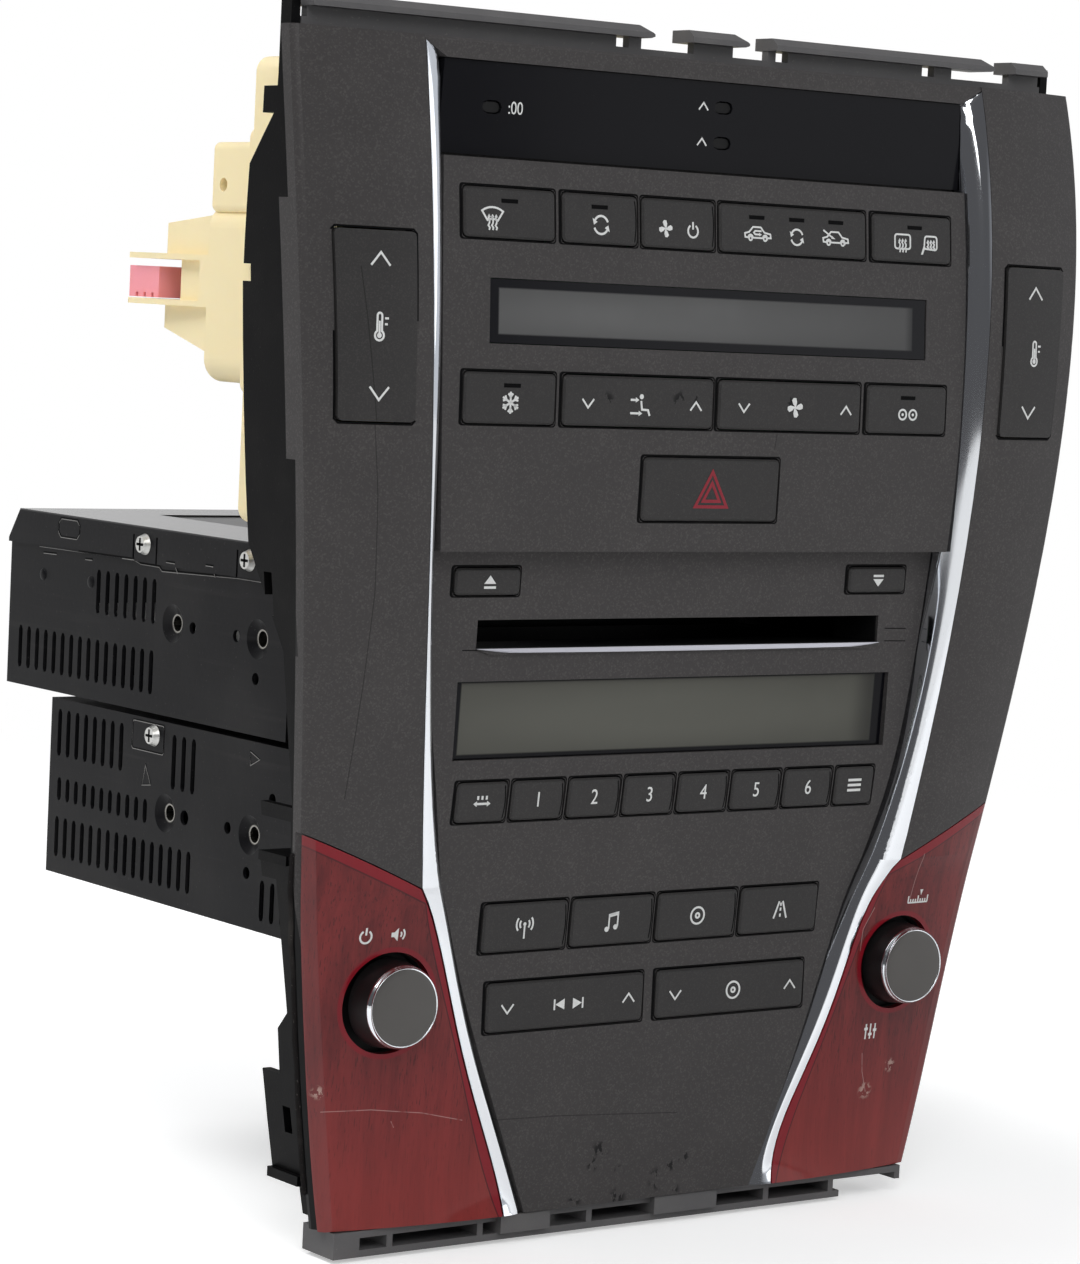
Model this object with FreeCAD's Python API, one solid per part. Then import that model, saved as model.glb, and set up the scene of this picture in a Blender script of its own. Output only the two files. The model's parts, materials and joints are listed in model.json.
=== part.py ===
"""Car stereo head unit behind a tall dashboard panel with climate controls.

Millimetres. X points to the right of someone who faces the panel, +Y runs into the dashboard and +Z is up.
The origin is the centre of the dashboard aperture: on the symmetry plane, at the joint line between the two
stacked cases, and level with the front of the radio face at that height.
"""
import FreeCAD
import Part
import math
import os

os.makedirs("parts", exist_ok=True)
Vec = FreeCAD.Vector

# Panel outline
panel_top = 178.0
wood_corner = -30.6
panel_bottom = -118.0
# Half width and depth of three edge lines, at four equal steps from the panel's top to the wood's corner
outer_upper = ((126.5, 0.4), (126.6, -7.8), (122.8, -8.5), (117.3, -4.1), (110.9, 3.1))
trim_upper = ((90.9, -3.4), (91.3, -11.5), (89.2, -12.1), (85.2, -8.1), (79.1, -1.9))
inner_upper = ((86.2, -2.0), (87.8, -11.1), (86.6, -11.2), (82.0, -7.5), (71.9, -2.2))
# The same lines below the wood's corner, at steps that widen towards the panel's bottom
outer_lower = ((110.9, 3.1), (109.7, 4.1), (107.0, 5.9), (103.0, 7.8), (97.0, 9.8))
trim_lower = ((79.1, -1.9), (73.5, 0.8), (66.2, 2.8), (56.4, 4.6), (44.5, 4.3))
inner_lower = ((71.9, -2.2), (68.7, -0.1), (62.6, 2.3), (52.9, 4.1), (39.6, 4.7))
lower_step_power = 1.7
crown = 1.2
corner_round = 1.5

# Fascia bezel
skin = 2.8
bezel_depth = 5.0
return_depth = 9.0
return_low = 75.0
return_high = 137.0
top_band = 4.9
edge_gap = 0.2

# Wood panels
wood_thickness = 2.4
wood_top_outer = -16.0
wood_top_middle = -23.0
wood_gap = 0.35
glue_gap = 0.3

# Chrome strips
chrome_draft = 2.0
mitre_drop = 1.0
chrome_seat = 1.4
chrome_fullness = 0.85

# Centre faces: height and depth of their front line
climate_top = 149.5
seam = 53.3
climate_line = ((149.5, -5.2), (120.0, -7.9), (90.0, -9.2), (53.3, -8.7))
radio_line = ((53.3, -2.6), (20.0, -1.5), (-12.0, 0.4), (-37.0, 4.5), (-65.0, 5.6), (-118.0, 5.3))
face_wall = 2.5
face_gap = 0.3
climate_rim_rear = 10.0
radio_rim_rear = 14.0
seam_gap = 0.3

# Keys
key_gap = 0.35
key_proud = 0.7
key_round = 1.2
key_edge = 0.5
key_travel = 1.2
key_flange = 0.9
flange_thickness = 1.0
stem = 3.6
stem_clearance = 0.2
rocker_angle = 2.5

# Rocker pivots
pin_radius = 1.0
running_fit = 0.05
pin_setback = 1.9
ear_thickness = 2.2
hub_half = 2.4

# Climate key rows: low and high edges, then the left and right edge of each key
climate_row_high = (130.2, 142.4)
climate_row_low = (85.0, 97.5)
radio_eject_row = (42.2, 48.9)
preset_row = (-15.1, -5.0)
band_row = (-49.5, -37.0)
seek_row = (-70.2, -57.6)
preset_first = -68.7
preset_divide = -52.4
preset_pitch = 17.85
preset_rib = 1.5
preset_last = 68.7

# Temperature rockers on the cheeks
temp_low = 84.9
temp_high = 130.4
temp_inner_low = 95.5
temp_inner_high = 96.6
temp_outer_low = 116.4
temp_outer_high = 118.9

# Clock window
clock_low = 150.2
clock_front = -2.5
clock_pane = 2.0
clock_tray = 2.0
pusher_width = 5.2
pusher_height = 2.6
pusher_recess = 0.5

# Displays
climate_glass_half = 71.2
climate_glass_low = 104.7
climate_glass_high = 120.3
radio_glass_half = 70.8
radio_glass_low = 0.9
radio_glass_high = 20.3
radio_glass_set = 1.2
glass_thickness = 2.0
module_inset = 2.5

# Disc slot
slot_half = 66.0
slot_low = 28.6
slot_high = 35.9
slot_wall = 1.5
lip_height = 1.4
lip_proud = 0.5
disc_height = 33.0

# Circuit boards
board_thickness = 1.6
climate_board_front = 10.0
radio_board_front = 16.0
switch_height = 4.0
switch_size = 4.6
stem_inset = 6.0

# Knobs
knob_x = 84.0
knob_z = -59.9
knob_radius = 11.4
knob_cap_radius = 10.4
knob_front = -3.6
knob_rear = 4.2
knob_wall = 1.5
well_radius = 13.0
well_wall = 1.4
well_floor = 10.4
shaft_radius = 3.0
bush_wall = 0.6
encoder_size = 12.0
push_travel = 1.5

# Cases
case_half = 90.0
case_wall = 1.0
changer_front = 46.0
changer_rear = 192.0
changer_floor = 0.3
changer_top = 50.0
tuner_front = 38.0
tuner_rear = 165.7
tuner_floor = -50.0
tuner_top = -1.3
cover_flange = 40.3
rear_chamfer_y = 6.0
rear_chamfer_z = 8.5
nose_half = 82.0
nose_wall = 2.0
bolt_front = 61.1
bolt_spacing = 42.1
bolt_upper = 25.2
bolt_pitch = 50.8
bolt_radius = 2.1
vent_width = 2.1
screw_head = 2.9
screw_shank = 1.45

# Changer deck
deck_height = 22.0
deck_sheet = 1.5
roller_y = 58.0
roller_radius = 3.2
roller_half = 62.0
roller_shaft = 1.5
roller_shaft_half = 68.0
ear_gap = 0.4

# Side rails
rail_gap = 0.3
rail_wall = 2.5
rail_front = 4.0

# Clip rails
clip_front = 5.8
clip_wall = 2.5
hook_low = 182.8
hook_top = 186.0
foot_bottom = -125.0

# Climate rear cover
cover_half = 104.0
cover_low = 56.0
cover_high = 173.0
cover_rear = 51.0
cover_wall = 2.0

# Rear sockets
socket_wall = 1.5
socket_depth = 10.0


def save(shape, name):
    """Write one named piece."""
    shape.exportStep("parts/" + name + ".step")


def box(x0, x1, y0, y1, z0, z1):
    return Part.makeBox(x1 - x0, y1 - y0, z1 - z0, Vec(x0, y0, z0))


def rod(radius, start, axis, length):
    return Part.makeCylinder(radius, length, start, axis)


def loop(points):
    return Part.makePolygon(list(points) + [points[0]])


def profile_x(points, x0, x1):
    """Solid of a YZ outline that runs along X."""
    wire = loop([Vec(x0, y, z) for y, z in points])
    return Part.Face(wire).extrude(Vec(x1 - x0, 0, 0))


def profile_y(points, y0, y1):
    """Solid of an XZ outline that runs along Y."""
    wire = loop([Vec(x, y0, z) for x, z in points])
    return Part.Face(wire).extrude(Vec(0, y1 - y0, 0))


def rounded_outline(corners, radius):
    """XZ outline whose corners are rounded in two flats; corners run round it in order."""
    points = []
    count = len(corners)
    for i in range(count):
        before, here, after = (Vec(corners[(i + k) % count][0], 0, corners[(i + k) % count][1]) for k in (-1, 0, 1))
        into = (before - here).normalize()
        out = (after - here).normalize()
        half = math.acos(max(-1.0, min(1.0, into.dot(out)))) / 2
        reach = radius / math.tan(half)
        middle = here + (into + out).normalize() * (radius / math.sin(half) - radius)
        points += [here + into * reach, middle, here + out * reach]
    return loop(points)


def rounded_prism(corners, radius, y0, y1):
    wire = rounded_outline(corners, radius)
    wire.translate(Vec(0, y0, 0))
    return Part.Face(wire).extrude(Vec(0, y1 - y0, 0))


def rounded_box(x0, x1, z0, z1, radius, y0, y1):
    return rounded_prism(((x0, z0), (x1, z0), (x1, z1), (x0, z1)), radius, y0, y1)


def slot_y(x, z, width, height, y0, y1):
    """Lying slot with round ends, along Y."""
    return rounded_box(x - width / 2, x + width / 2, z - height / 2, z + height / 2, height / 2 - 0.01, y0, y1)


def joined(first, others):
    """One solid from a shape and those that grow from it."""
    return first.fuse(list(others)).removeSplitter()


def mirrored(shape):
    return shape.mirror(Vec(0, 0, 0), Vec(1, 0, 0))


# Heights of the stations
steps = len(outer_upper) - 1
upper_heights = [panel_top - (panel_top - wood_corner) * i / steps for i in range(steps + 1)]
lower_heights = [wood_corner - (wood_corner - panel_bottom) * (i / steps) ** lower_step_power
                 for i in range(steps + 1)]


def smooth(heights, values, height):
    """Value at a height on a smooth curve through the stations."""
    last = len(heights) - 1
    rising = heights[0] < heights[-1]
    i = 0
    while i < last - 1 and (height > heights[i + 1]) == rising:
        i += 1

    def slope(k):
        a, b = max(k - 1, 0), min(k + 1, last)
        return (values[b] - values[a]) / (heights[b] - heights[a])

    span = heights[i + 1] - heights[i]
    t = (height - heights[i]) / span
    near = (1 + 2 * t) * (1 - t) ** 2 * values[i] + t * (1 - t) ** 2 * span * slope(i)
    far = t * t * (3 - 2 * t) * values[i + 1] + t * t * (t - 1) * span * slope(i + 1)
    return near + far


def edge_at(upper, lower, height):
    """Half width and depth of an edge line at a height."""
    if height >= wood_corner:
        heights, line = upper_heights, upper
    else:
        heights, line = lower_heights, lower
    return tuple(smooth(heights, [station[k] for station in line], height) for k in (0, 1))


def outer_at(height):
    return edge_at(outer_upper, outer_lower, height)


def trim_at(height):
    return edge_at(trim_upper, trim_lower, height)


def line_at(line, height):
    """Depth of a centre face's front line at a height."""
    return smooth([p[0] for p in line], [p[1] for p in line], height)


def face_depth(height):
    """Depth of the centre faces at a height."""
    if height > climate_top:
        return clock_front
    if height > seam:
        return line_at(climate_line, height)
    return line_at(radio_line, height)


# Fascia bezel, one side
def leg_section(height, trim, outer, inset, front, depth, hidden):
    """Section of a cheek at one height: crowned front, round outer corner and flat rear.

    A hidden one, such as the hollow behind the skin, is drawn with straight lines.
    """
    x_in = trim[0] + inset
    x_out = outer[0] - inset
    y_in = trim[1] + front
    y_out = outer[1] + front
    rear = outer[1] + depth
    start = Vec(x_in, y_in, height)
    top = Vec((x_in + x_out) / 2, (y_in + y_out) / 2 - crown, height)
    turn = Vec(x_out - corner_round, y_out - 0.25 * corner_round, height)
    knee = Vec(x_out - 0.3 * corner_round, y_out + 0.3 * corner_round, height)
    side = Vec(x_out, y_out + corner_round, height)
    if hidden:
        return loop([start, top, turn, side, Vec(x_out, rear, height), Vec(x_in, rear, height)])
    edges = [Part.Arc(start, top, turn).toShape(), Part.Arc(turn, knee, side).toShape(),
             Part.makeLine(side, Vec(x_out, rear, height)),
             Part.makeLine(Vec(x_out, rear, height), Vec(x_in, rear, height)),
             Part.makeLine(Vec(x_in, rear, height), start)]
    return Part.Wire(edges)


def leg(inset, front, depth, hidden=False):
    """A cheek from top to bottom, filled."""
    upper = [leg_section(h, t, o, inset, front, depth, hidden)
             for h, t, o in zip(upper_heights, trim_upper, outer_upper)]
    lower = [leg_section(h, t, o, inset, front, depth, hidden)
             for h, t, o in zip(lower_heights, trim_lower, outer_lower)]
    return Part.makeLoft(upper, True, False).fuse(Part.makeLoft(lower, True, False))


def behind_leg(offset, far):
    """Everything behind a plane that follows the cheek's outer edge."""
    solids = []
    for heights, line in ((upper_heights, outer_upper), (lower_heights, outer_lower)):
        wires = []
        for height, (x, y) in zip(heights, line):
            wires.append(loop([Vec(20, y + offset, height), Vec(x + 20, y + offset, height),
                               Vec(x + 20, far, height), Vec(20, far, height)]))
        solids.append(Part.makeLoft(wires, True, False))
    return solids[0].fuse(solids[1])


def wood_region(gap):
    """Everything below the line where the wood meets the cheek."""
    x_far = outer_upper[-1][0] + 30
    x_out = outer_at(wood_top_outer)[0]
    x_in = trim_upper[-1][0]
    arc = Part.Arc(Vec(x_in, -60, wood_corner - gap), Vec((x_in + x_out) / 2, -60, wood_top_middle - gap),
                   Vec(x_out, -60, wood_top_outer - gap)).toShape()
    rim = [Vec(x_out, -60, wood_top_outer - gap), Vec(x_far, -60, wood_top_outer - gap),
           Vec(x_far, -60, panel_bottom - 60), Vec(0, -60, panel_bottom - 60),
           Vec(0, -60, wood_corner - gap), Vec(x_in, -60, wood_corner - gap)]
    lines = [Part.makeLine(rim[i], rim[i + 1]) for i in range(len(rim) - 1)]
    return Part.Face(Part.Wire([arc] + lines)).extrude(Vec(0, 120, 0))


def temp_outline(gap):
    """Corners of a temperature rocker, grown by a gap."""
    return ((temp_inner_low - gap, temp_low - gap), (temp_outer_low + gap, temp_low - gap),
            (temp_outer_high + gap, temp_high + gap), (temp_inner_high - gap, temp_high + gap))


def ear(centre, along, across_half, size, hole):
    """Bearing ear on one side of a pivot: a block with a bore along the pivot's axis."""
    start, end = size
    if along == "z":
        block = box(centre.x - across_half, centre.x + across_half, centre.y - pin_setback - 0.6,
                    centre.y + across_half, start, end)
        bore = rod(hole, Vec(centre.x, centre.y, start - 1), Vec(0, 0, 1), end - start + 2)
    else:
        block = box(start, end, centre.y - pin_setback - 0.6, centre.y + across_half,
                    centre.z - across_half, centre.z + across_half)
        bore = rod(hole, Vec(start - 1, centre.y, centre.z), Vec(1, 0, 0), end - start + 2)
    return block.cut(bore)


whole_leg = leg(0, 0, return_depth)
wood_bed = leg(0, wood_thickness, bezel_depth, True)
lower_half = wood_region(0)
upper_skin = whole_leg.cut(lower_half).cut(leg(skin, skin, 40, True))
lower_skin = wood_bed.common(lower_half).cut(leg(skin, wood_thickness + skin, 40, True))
shallow = behind_leg(bezel_depth, 60)
for low, high in ((panel_bottom - 1, return_low), (return_high, panel_top + 1)):
    upper_skin = upper_skin.cut(shallow.common(box(0, 200, -60, 100, low, high)))
cap_top = leg(0, 0, bezel_depth).common(box(0, 200, -60, 100, panel_top - skin, panel_top))
knob_point = Vec(knob_x, 0, knob_z)
well_front = wood_thickness + line_at(radio_line, knob_z)
well_cup = rod(well_radius + well_wall, knob_point + Vec(0, well_front, 0), Vec(0, 1, 0), well_floor - well_front)
well_hollow = rod(well_radius, knob_point - Vec(0, 20, 0), Vec(0, 1, 0), 20 + well_floor - well_wall)
bush_radius = shaft_radius + running_fit + bush_wall
bush_hole = rod(bush_radius + face_gap, knob_point - Vec(0, 20, 0), Vec(0, 1, 0), 50)
bezel_leg = upper_skin.fuse([lower_skin, cap_top, well_cup]).cut(well_hollow).cut(bush_hole)
bezel_leg = bezel_leg.cut(rounded_prism(temp_outline(key_gap), key_round, -60, 60))
temp_middle = (temp_low + temp_high) / 2
temp_centre_x = (temp_inner_low + temp_inner_high + temp_outer_low + temp_outer_high) / 4
cheek_front = (trim_at(temp_middle)[1] + outer_at(temp_middle)[1]) / 2 - crown
temp_pin = Vec(temp_centre_x, cheek_front + skin + pin_setback, temp_middle)
temp_inner = (temp_inner_low + temp_inner_high) / 2
temp_outer = (temp_outer_low + temp_outer_high) / 2
hub_reach = key_gap + ear_gap + ear_thickness
temp_ears = [ear(temp_pin, "x", hub_half, (temp_inner - key_gap - ear_gap - ear_thickness, temp_inner - key_gap - ear_gap),
                 pin_radius + running_fit),
             ear(temp_pin, "x", hub_half, (temp_outer + key_gap + ear_gap, temp_outer + key_gap + ear_gap + ear_thickness),
                 pin_radius + running_fit)]
temp_bore = rod(pin_radius + running_fit, Vec(temp_inner - hub_reach - ear_gap, temp_pin.y, temp_middle), Vec(1, 0, 0),
                temp_outer - temp_inner + 2 * (hub_reach + ear_gap))
bezel_leg = bezel_leg.fuse(temp_ears).cut(temp_bore)
band_front = trim_upper[0][1]
band_half = trim_upper[0][0] + skin / 2
band = profile_x(((band_front, panel_top - top_band), (band_front, panel_top - 0.8), (band_front + 0.8, panel_top),
                  (outer_upper[0][1] + bezel_depth, panel_top), (outer_upper[0][1] + bezel_depth, panel_top - skin),
                  (band_front + skin, panel_top - skin), (band_front + skin, panel_top - top_band)),
                 -band_half, band_half)
mitre_inner = inner_upper[0][0] - chrome_draft
mitre_outer = trim_upper[0][0]
mitre = profile_y(((mitre_inner - 0.1, panel_top - top_band - 1), (mitre_inner - 0.1, panel_top - top_band),
                   (mitre_outer, panel_top - mitre_drop), (mitre_outer, panel_top - top_band - 1)), -60, 60)
band = band.cut([mitre, mirrored(mitre)])
bezel = joined(band, [bezel_leg, mirrored(bezel_leg)])
save(bezel, "fascia_bezel")

# Wood panels
wood = whole_leg.common(wood_region(wood_gap)).cut(leg(-5, wood_thickness - glue_gap, 60, True))
trim_side = Part.makeLoft([loop([Vec(0, -40, h), Vec(t[0] + wood_gap, -40, h), Vec(t[0] + wood_gap, 40, h), Vec(0, 40, h)])
                           for h, t in zip(lower_heights, trim_lower)], True, False)
wood = wood.cut(trim_side).cut(rod(well_radius, knob_point - Vec(0, 30, 0), Vec(0, 1, 0), 60))
save(wood, "wood_panel_right")
save(mirrored(wood), "wood_panel_left")


# Chrome strips
def chrome_section(height, trim, inner):
    """Section of a strip at one height: a full rounded front over a deep foot."""
    slope_end = max(face_depth(height) + chrome_seat, inner[1] + chrome_seat)
    foot = max(slope_end, radio_line[0][1] + chrome_seat) + chrome_seat
    start = Vec(trim[0] - edge_gap, trim[1], height)
    ridge = Vec(inner[0], inner[1], height)
    end = Vec(inner[0] - chrome_draft, slope_end, height)
    front = Part.BezierCurve()
    front.setPoles([start, ridge * chrome_fullness + start * (1 - chrome_fullness),
                    ridge * chrome_fullness + end * (1 - chrome_fullness), end])
    inner_foot, outer_foot = Vec(end.x, foot, height), Vec(start.x, foot, height)
    return Part.Wire([front.toShape(), Part.makeLine(end, inner_foot), Part.makeLine(inner_foot, outer_foot),
                      Part.makeLine(outer_foot, start)])


chrome_parts = []
for heights, trims, inners in ((upper_heights, trim_upper, inner_upper), (lower_heights, trim_lower, inner_lower)):
    wires = [chrome_section(h, t, i) for h, t, i in zip(heights, trims, inners)]
    chrome_parts.append(Part.makeLoft(wires, True, False))
chrome = chrome_parts[0].fuse(chrome_parts[1])
chrome = chrome.cut(profile_y(((mitre_inner - 9, panel_top - top_band - edge_gap),
                               (mitre_inner, panel_top - top_band - edge_gap),
                               (mitre_outer, panel_top - mitre_drop - edge_gap), (mitre_outer, panel_top + 9),
                               (mitre_inner - 9, panel_top + 9)), -60, 60))


# Centre faces
def face_edge(heights, line, inset):
    """Edge curve of the centre faces, inside the chrome strips."""
    points = [Vec(station[0] - chrome_draft - face_gap - inset, 0, h) for h, station in zip(heights, line)]
    curve = Part.BSplineCurve()
    curve.interpolate(points)
    return curve.toShape(), points


def face_prism(inset):
    """Everything inside the chrome strips, from the top to the bottom of the panel."""
    upper, upper_points = face_edge(upper_heights, inner_upper, inset)
    lower, lower_points = face_edge(lower_heights, inner_lower, inset)
    top = upper_points[0]
    bottom = lower_points[-1]
    axis = [Part.makeLine(bottom, Vec(0, 0, bottom.z)), Part.makeLine(Vec(0, 0, bottom.z), Vec(0, 0, top.z)),
            Part.makeLine(Vec(0, 0, top.z), top)]
    half = Part.Face(Part.Wire([upper, lower] + axis))
    half.translate(Vec(0, -60, 0))
    solid = half.extrude(Vec(0, 160, 0))
    return solid.fuse(mirrored(solid)).removeSplitter()


def face_slab(line, offset, rear, low, high, hidden=False):
    """Everything behind a centre face's front line, down to a rear plane; a hidden front is drawn straight."""
    points = [Vec(-120, y + offset, z) for z, y in line]
    start, end = points[0], points[-1]
    front = [Part.makePolygon(points)]
    if not hidden:
        curve = Part.BSplineCurve()
        curve.interpolate(points)
        front = [curve.toShape()]
    back = [Part.makeLine(end, Vec(-120, rear, end.z)), Part.makeLine(Vec(-120, rear, end.z), Vec(-120, rear, start.z)),
            Part.makeLine(Vec(-120, rear, start.z), start)]
    solid = Part.Face(Part.Wire(front + back)).extrude(Vec(240, 0, 0))
    return solid.common(box(-130, 130, -60, 120, low, high))


chrome = chrome.cut(face_prism(-face_gap))
save(chrome, "chrome_strip_right")
save(mirrored(chrome), "chrome_strip_left")
outline = face_prism(0)
inner_outline = face_prism(face_wall)
climate_bottom = seam + seam_gap / 2
radio_top = seam - seam_gap / 2
climate = outline.common(face_slab(climate_line, 0, climate_rim_rear, climate_bottom, climate_top))
climate = climate.cut(inner_outline.common(face_slab(climate_line, face_wall, 60, climate_bottom + face_wall,
                                                     climate_top - face_wall, True)))
radio = outline.common(face_slab(radio_line, 0, radio_rim_rear, panel_bottom, radio_top))
radio = radio.cut(inner_outline.common(face_slab(radio_line, face_wall, 60, panel_bottom + face_wall,
                                                 radio_top - face_wall, True)))

# Clock window and its tray
clock_high = panel_top - top_band - edge_gap
tray_front = clock_front + clock_pane + edge_gap
tray = outline.common(box(-120, 120, tray_front, tray_front + clock_tray, climate_top - face_wall, clock_high))
climate = climate.fuse(tray)
lens = outline.common(box(-120, 120, clock_front, clock_front + clock_pane, clock_low, clock_high))
pushers = {"clock_set_pusher": (-69.5, 162.0), "hour_pusher": (3.2, 166.6), "minute_pusher": (3.2, 157.6)}
for x, z in pushers.values():
    hole = slot_y(x, z, pusher_width + 2 * key_gap, pusher_height + 2 * key_gap, -30, 30)
    lens = lens.cut(hole)
    climate = climate.cut(hole)
save(lens, "clock_window")


# Keys and rockers
def wedge(x0, x1, z0, z1, y_low, y_high, rear):
    """Block with a flat, tilted front."""
    return profile_x(((y_low, z0), (y_high, z1), (rear, z1), (rear, z0)), x0, x1)


def key_cap(x0, x1, z0, z1, rear):
    """Key cap whose front lies a little proud of the face, with rounded corners and edges."""
    y_low = face_depth(z0) - key_proud
    y_high = face_depth(z1) - key_proud
    cap = wedge(x0, x1, z0, z1, y_low, y_high, rear).common(rounded_box(x0, x1, z0, z1, key_round, -60, 60))
    limit = max(y_low, y_high) + 0.01
    front = [e for e in cap.Edges if e.BoundBox.YMax < limit]
    return cap.makeChamfer(key_edge, front)


def key(x0, x1, row, board):
    """Push key: cap, retaining flange and stem."""
    z0, z1 = row
    reach = key_gap + key_flange
    rear = max(face_depth(z0 - reach), face_depth(z1 + reach)) + face_wall + stem_clearance
    cap = key_cap(x0, x1, z0, z1, rear + flange_thickness)
    flange = box(x0 + edge_gap, x1 - edge_gap, rear, rear + flange_thickness, z0 - reach, z1 + reach)
    x, z = (x0 + x1) / 2, (z0 + z1) / 2
    end = board - switch_height - key_travel - stem_clearance
    post = box(x - stem / 2, x + stem / 2, rear, end, z - stem / 2, z + stem / 2)
    return joined(cap, [flange, post])


def window(x0, x1, row):
    return rounded_box(x0 - key_gap, x1 + key_gap, row[0] - key_gap, row[1] + key_gap, key_round, -60, 60)


def switch(x, z, board):
    return box(x - switch_size / 2, x + switch_size / 2, board - switch_height, board, z - switch_size / 2,
               z + switch_size / 2)


def rocker_pin(x0, x1, row):
    """Pivot point of a rocker that tips left and right."""
    deepest = max(face_depth(row[0]), face_depth(row[1]))
    return Vec((x0 + x1) / 2, deepest + face_wall + pin_setback, (row[0] + row[1]) / 2)


def rocker_stems(x0, x1):
    """Places of the two stems of a rocker."""
    return x0 + stem_inset, x1 - stem_inset


def rocker(x0, x1, row, board):
    """Rocker: cap, hub, pivot pin and a stem near each end."""
    z0, z1 = row
    pin = rocker_pin(x0, x1, row)
    cap = key_cap(x0, x1, z0, z1, pin.y - pin_setback)
    hub = box(pin.x - hub_half, pin.x + hub_half, pin.y - pin_setback, pin.y + hub_half - 0.8, z0, z1)
    reach = key_gap + ear_gap + ear_thickness
    shaft = rod(pin_radius, Vec(pin.x, pin.y, z0 - reach), Vec(0, 0, 1), z1 - z0 + 2 * reach)
    stems = []
    for x in rocker_stems(x0, x1):
        swing = abs(x - pin.x) * math.sin(math.radians(rocker_angle))
        end = board - switch_height - swing - stem_clearance
        stems.append(box(x - stem / 2, x + stem / 2, pin.y - pin_setback, end, pin.z - stem / 2, pin.z + stem / 2))
    return joined(cap, [hub, shaft] + stems)


def rocker_ears(x0, x1, row):
    pin = rocker_pin(x0, x1, row)
    high = row[1] + key_gap + ear_gap
    low = row[0] - key_gap - ear_gap
    hole = pin_radius + running_fit
    return [ear(pin, "z", hub_half, (high, high + ear_thickness), hole),
            ear(pin, "z", hub_half, (low - ear_thickness, low), hole)]


climate_keys = {"front_defrost_key": (-79.6, -52.0, climate_row_high),
                "auto_key": (-49.6, -26.2, climate_row_high),
                "fan_off_key": (-24.7, -1.2, climate_row_high),
                "recirculation_key": (0.3, 49.6, climate_row_high),
                "rear_defrost_key": (52.0, 79.6, climate_row_high),
                "cooling_key": (-78.9, -51.1, climate_row_low),
                "dual_key": (51.1, 78.9, climate_row_low),
                "hazard_key": (-22.2, 22.2, (61.4, 77.4))}
climate_rockers = {"mode_rocker": (-48.7, -0.9, climate_row_low), "fan_rocker": (0.9, 48.7, climate_row_low)}
radio_keys = {"eject_key": (-74.0, -54.1, radio_eject_row), "load_key": (54.1, 74.0, radio_eject_row),
              "scan_key": (preset_first, preset_divide - preset_rib / 2, preset_row)}
for number in range(6):
    left = preset_divide + preset_pitch * number
    radio_keys["preset_key_%d" % (number + 1)] = (left + preset_rib / 2, left + preset_pitch - preset_rib / 2,
                                                  preset_row)
radio_keys["text_key"] = (preset_divide + 6 * preset_pitch + preset_rib / 2, preset_last, preset_row)
band_half_width = 56.0
band_pitch = 2 * band_half_width / 4
for number in range(4):
    left = -band_half_width + band_pitch * number
    radio_keys["band_key_%d" % (number + 1)] = (left + preset_rib / 2, left + band_pitch - preset_rib / 2, band_row)
radio_rockers = {"seek_rocker": (-52.5, -2.2, seek_row), "type_rocker": (2.2, 52.5, seek_row)}

climate_switches = []
for name, (x0, x1, row) in climate_keys.items():
    climate = climate.cut(window(x0, x1, row))
    climate_switches.append(switch((x0 + x1) / 2, (row[0] + row[1]) / 2, climate_board_front))
    save(key(x0, x1, row, climate_board_front), name)
for name, (x0, x1, row) in climate_rockers.items():
    climate = climate.cut(window(x0, x1, row)).fuse(rocker_ears(x0, x1, row))
    for x in rocker_stems(x0, x1):
        climate_switches.append(switch(x, (row[0] + row[1]) / 2, climate_board_front))
    save(rocker(x0, x1, row, climate_board_front), name)
radio_switches = []
for name, (x0, x1, row) in radio_keys.items():
    radio = radio.cut(window(x0, x1, row))
    radio_switches.append(switch((x0 + x1) / 2, (row[0] + row[1]) / 2, radio_board_front))
    save(key(x0, x1, row, radio_board_front), name)
for name, (x0, x1, row) in radio_rockers.items():
    radio = radio.cut(window(x0, x1, row)).fuse(rocker_ears(x0, x1, row))
    for x in rocker_stems(x0, x1):
        radio_switches.append(switch(x, (row[0] + row[1]) / 2, radio_board_front))
    save(rocker(x0, x1, row, radio_board_front), name)

# Clock pushers
for name, (x, z) in pushers.items():
    front = clock_front + pusher_recess
    rear = tray_front + clock_tray + stem_clearance
    tip = slot_y(x, z, pusher_width, pusher_height, front, rear + flange_thickness)
    flange = slot_y(x, z, pusher_width + 2, pusher_height + 2, rear, rear + flange_thickness)
    end = climate_board_front - switch_height - key_travel - stem_clearance
    post = box(x - pusher_height / 2, x + pusher_height / 2, rear, end, z - pusher_height / 2, z + pusher_height / 2)
    save(joined(tip, [flange, post]), name)
    climate_switches.append(switch(x, z, climate_board_front))

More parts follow.
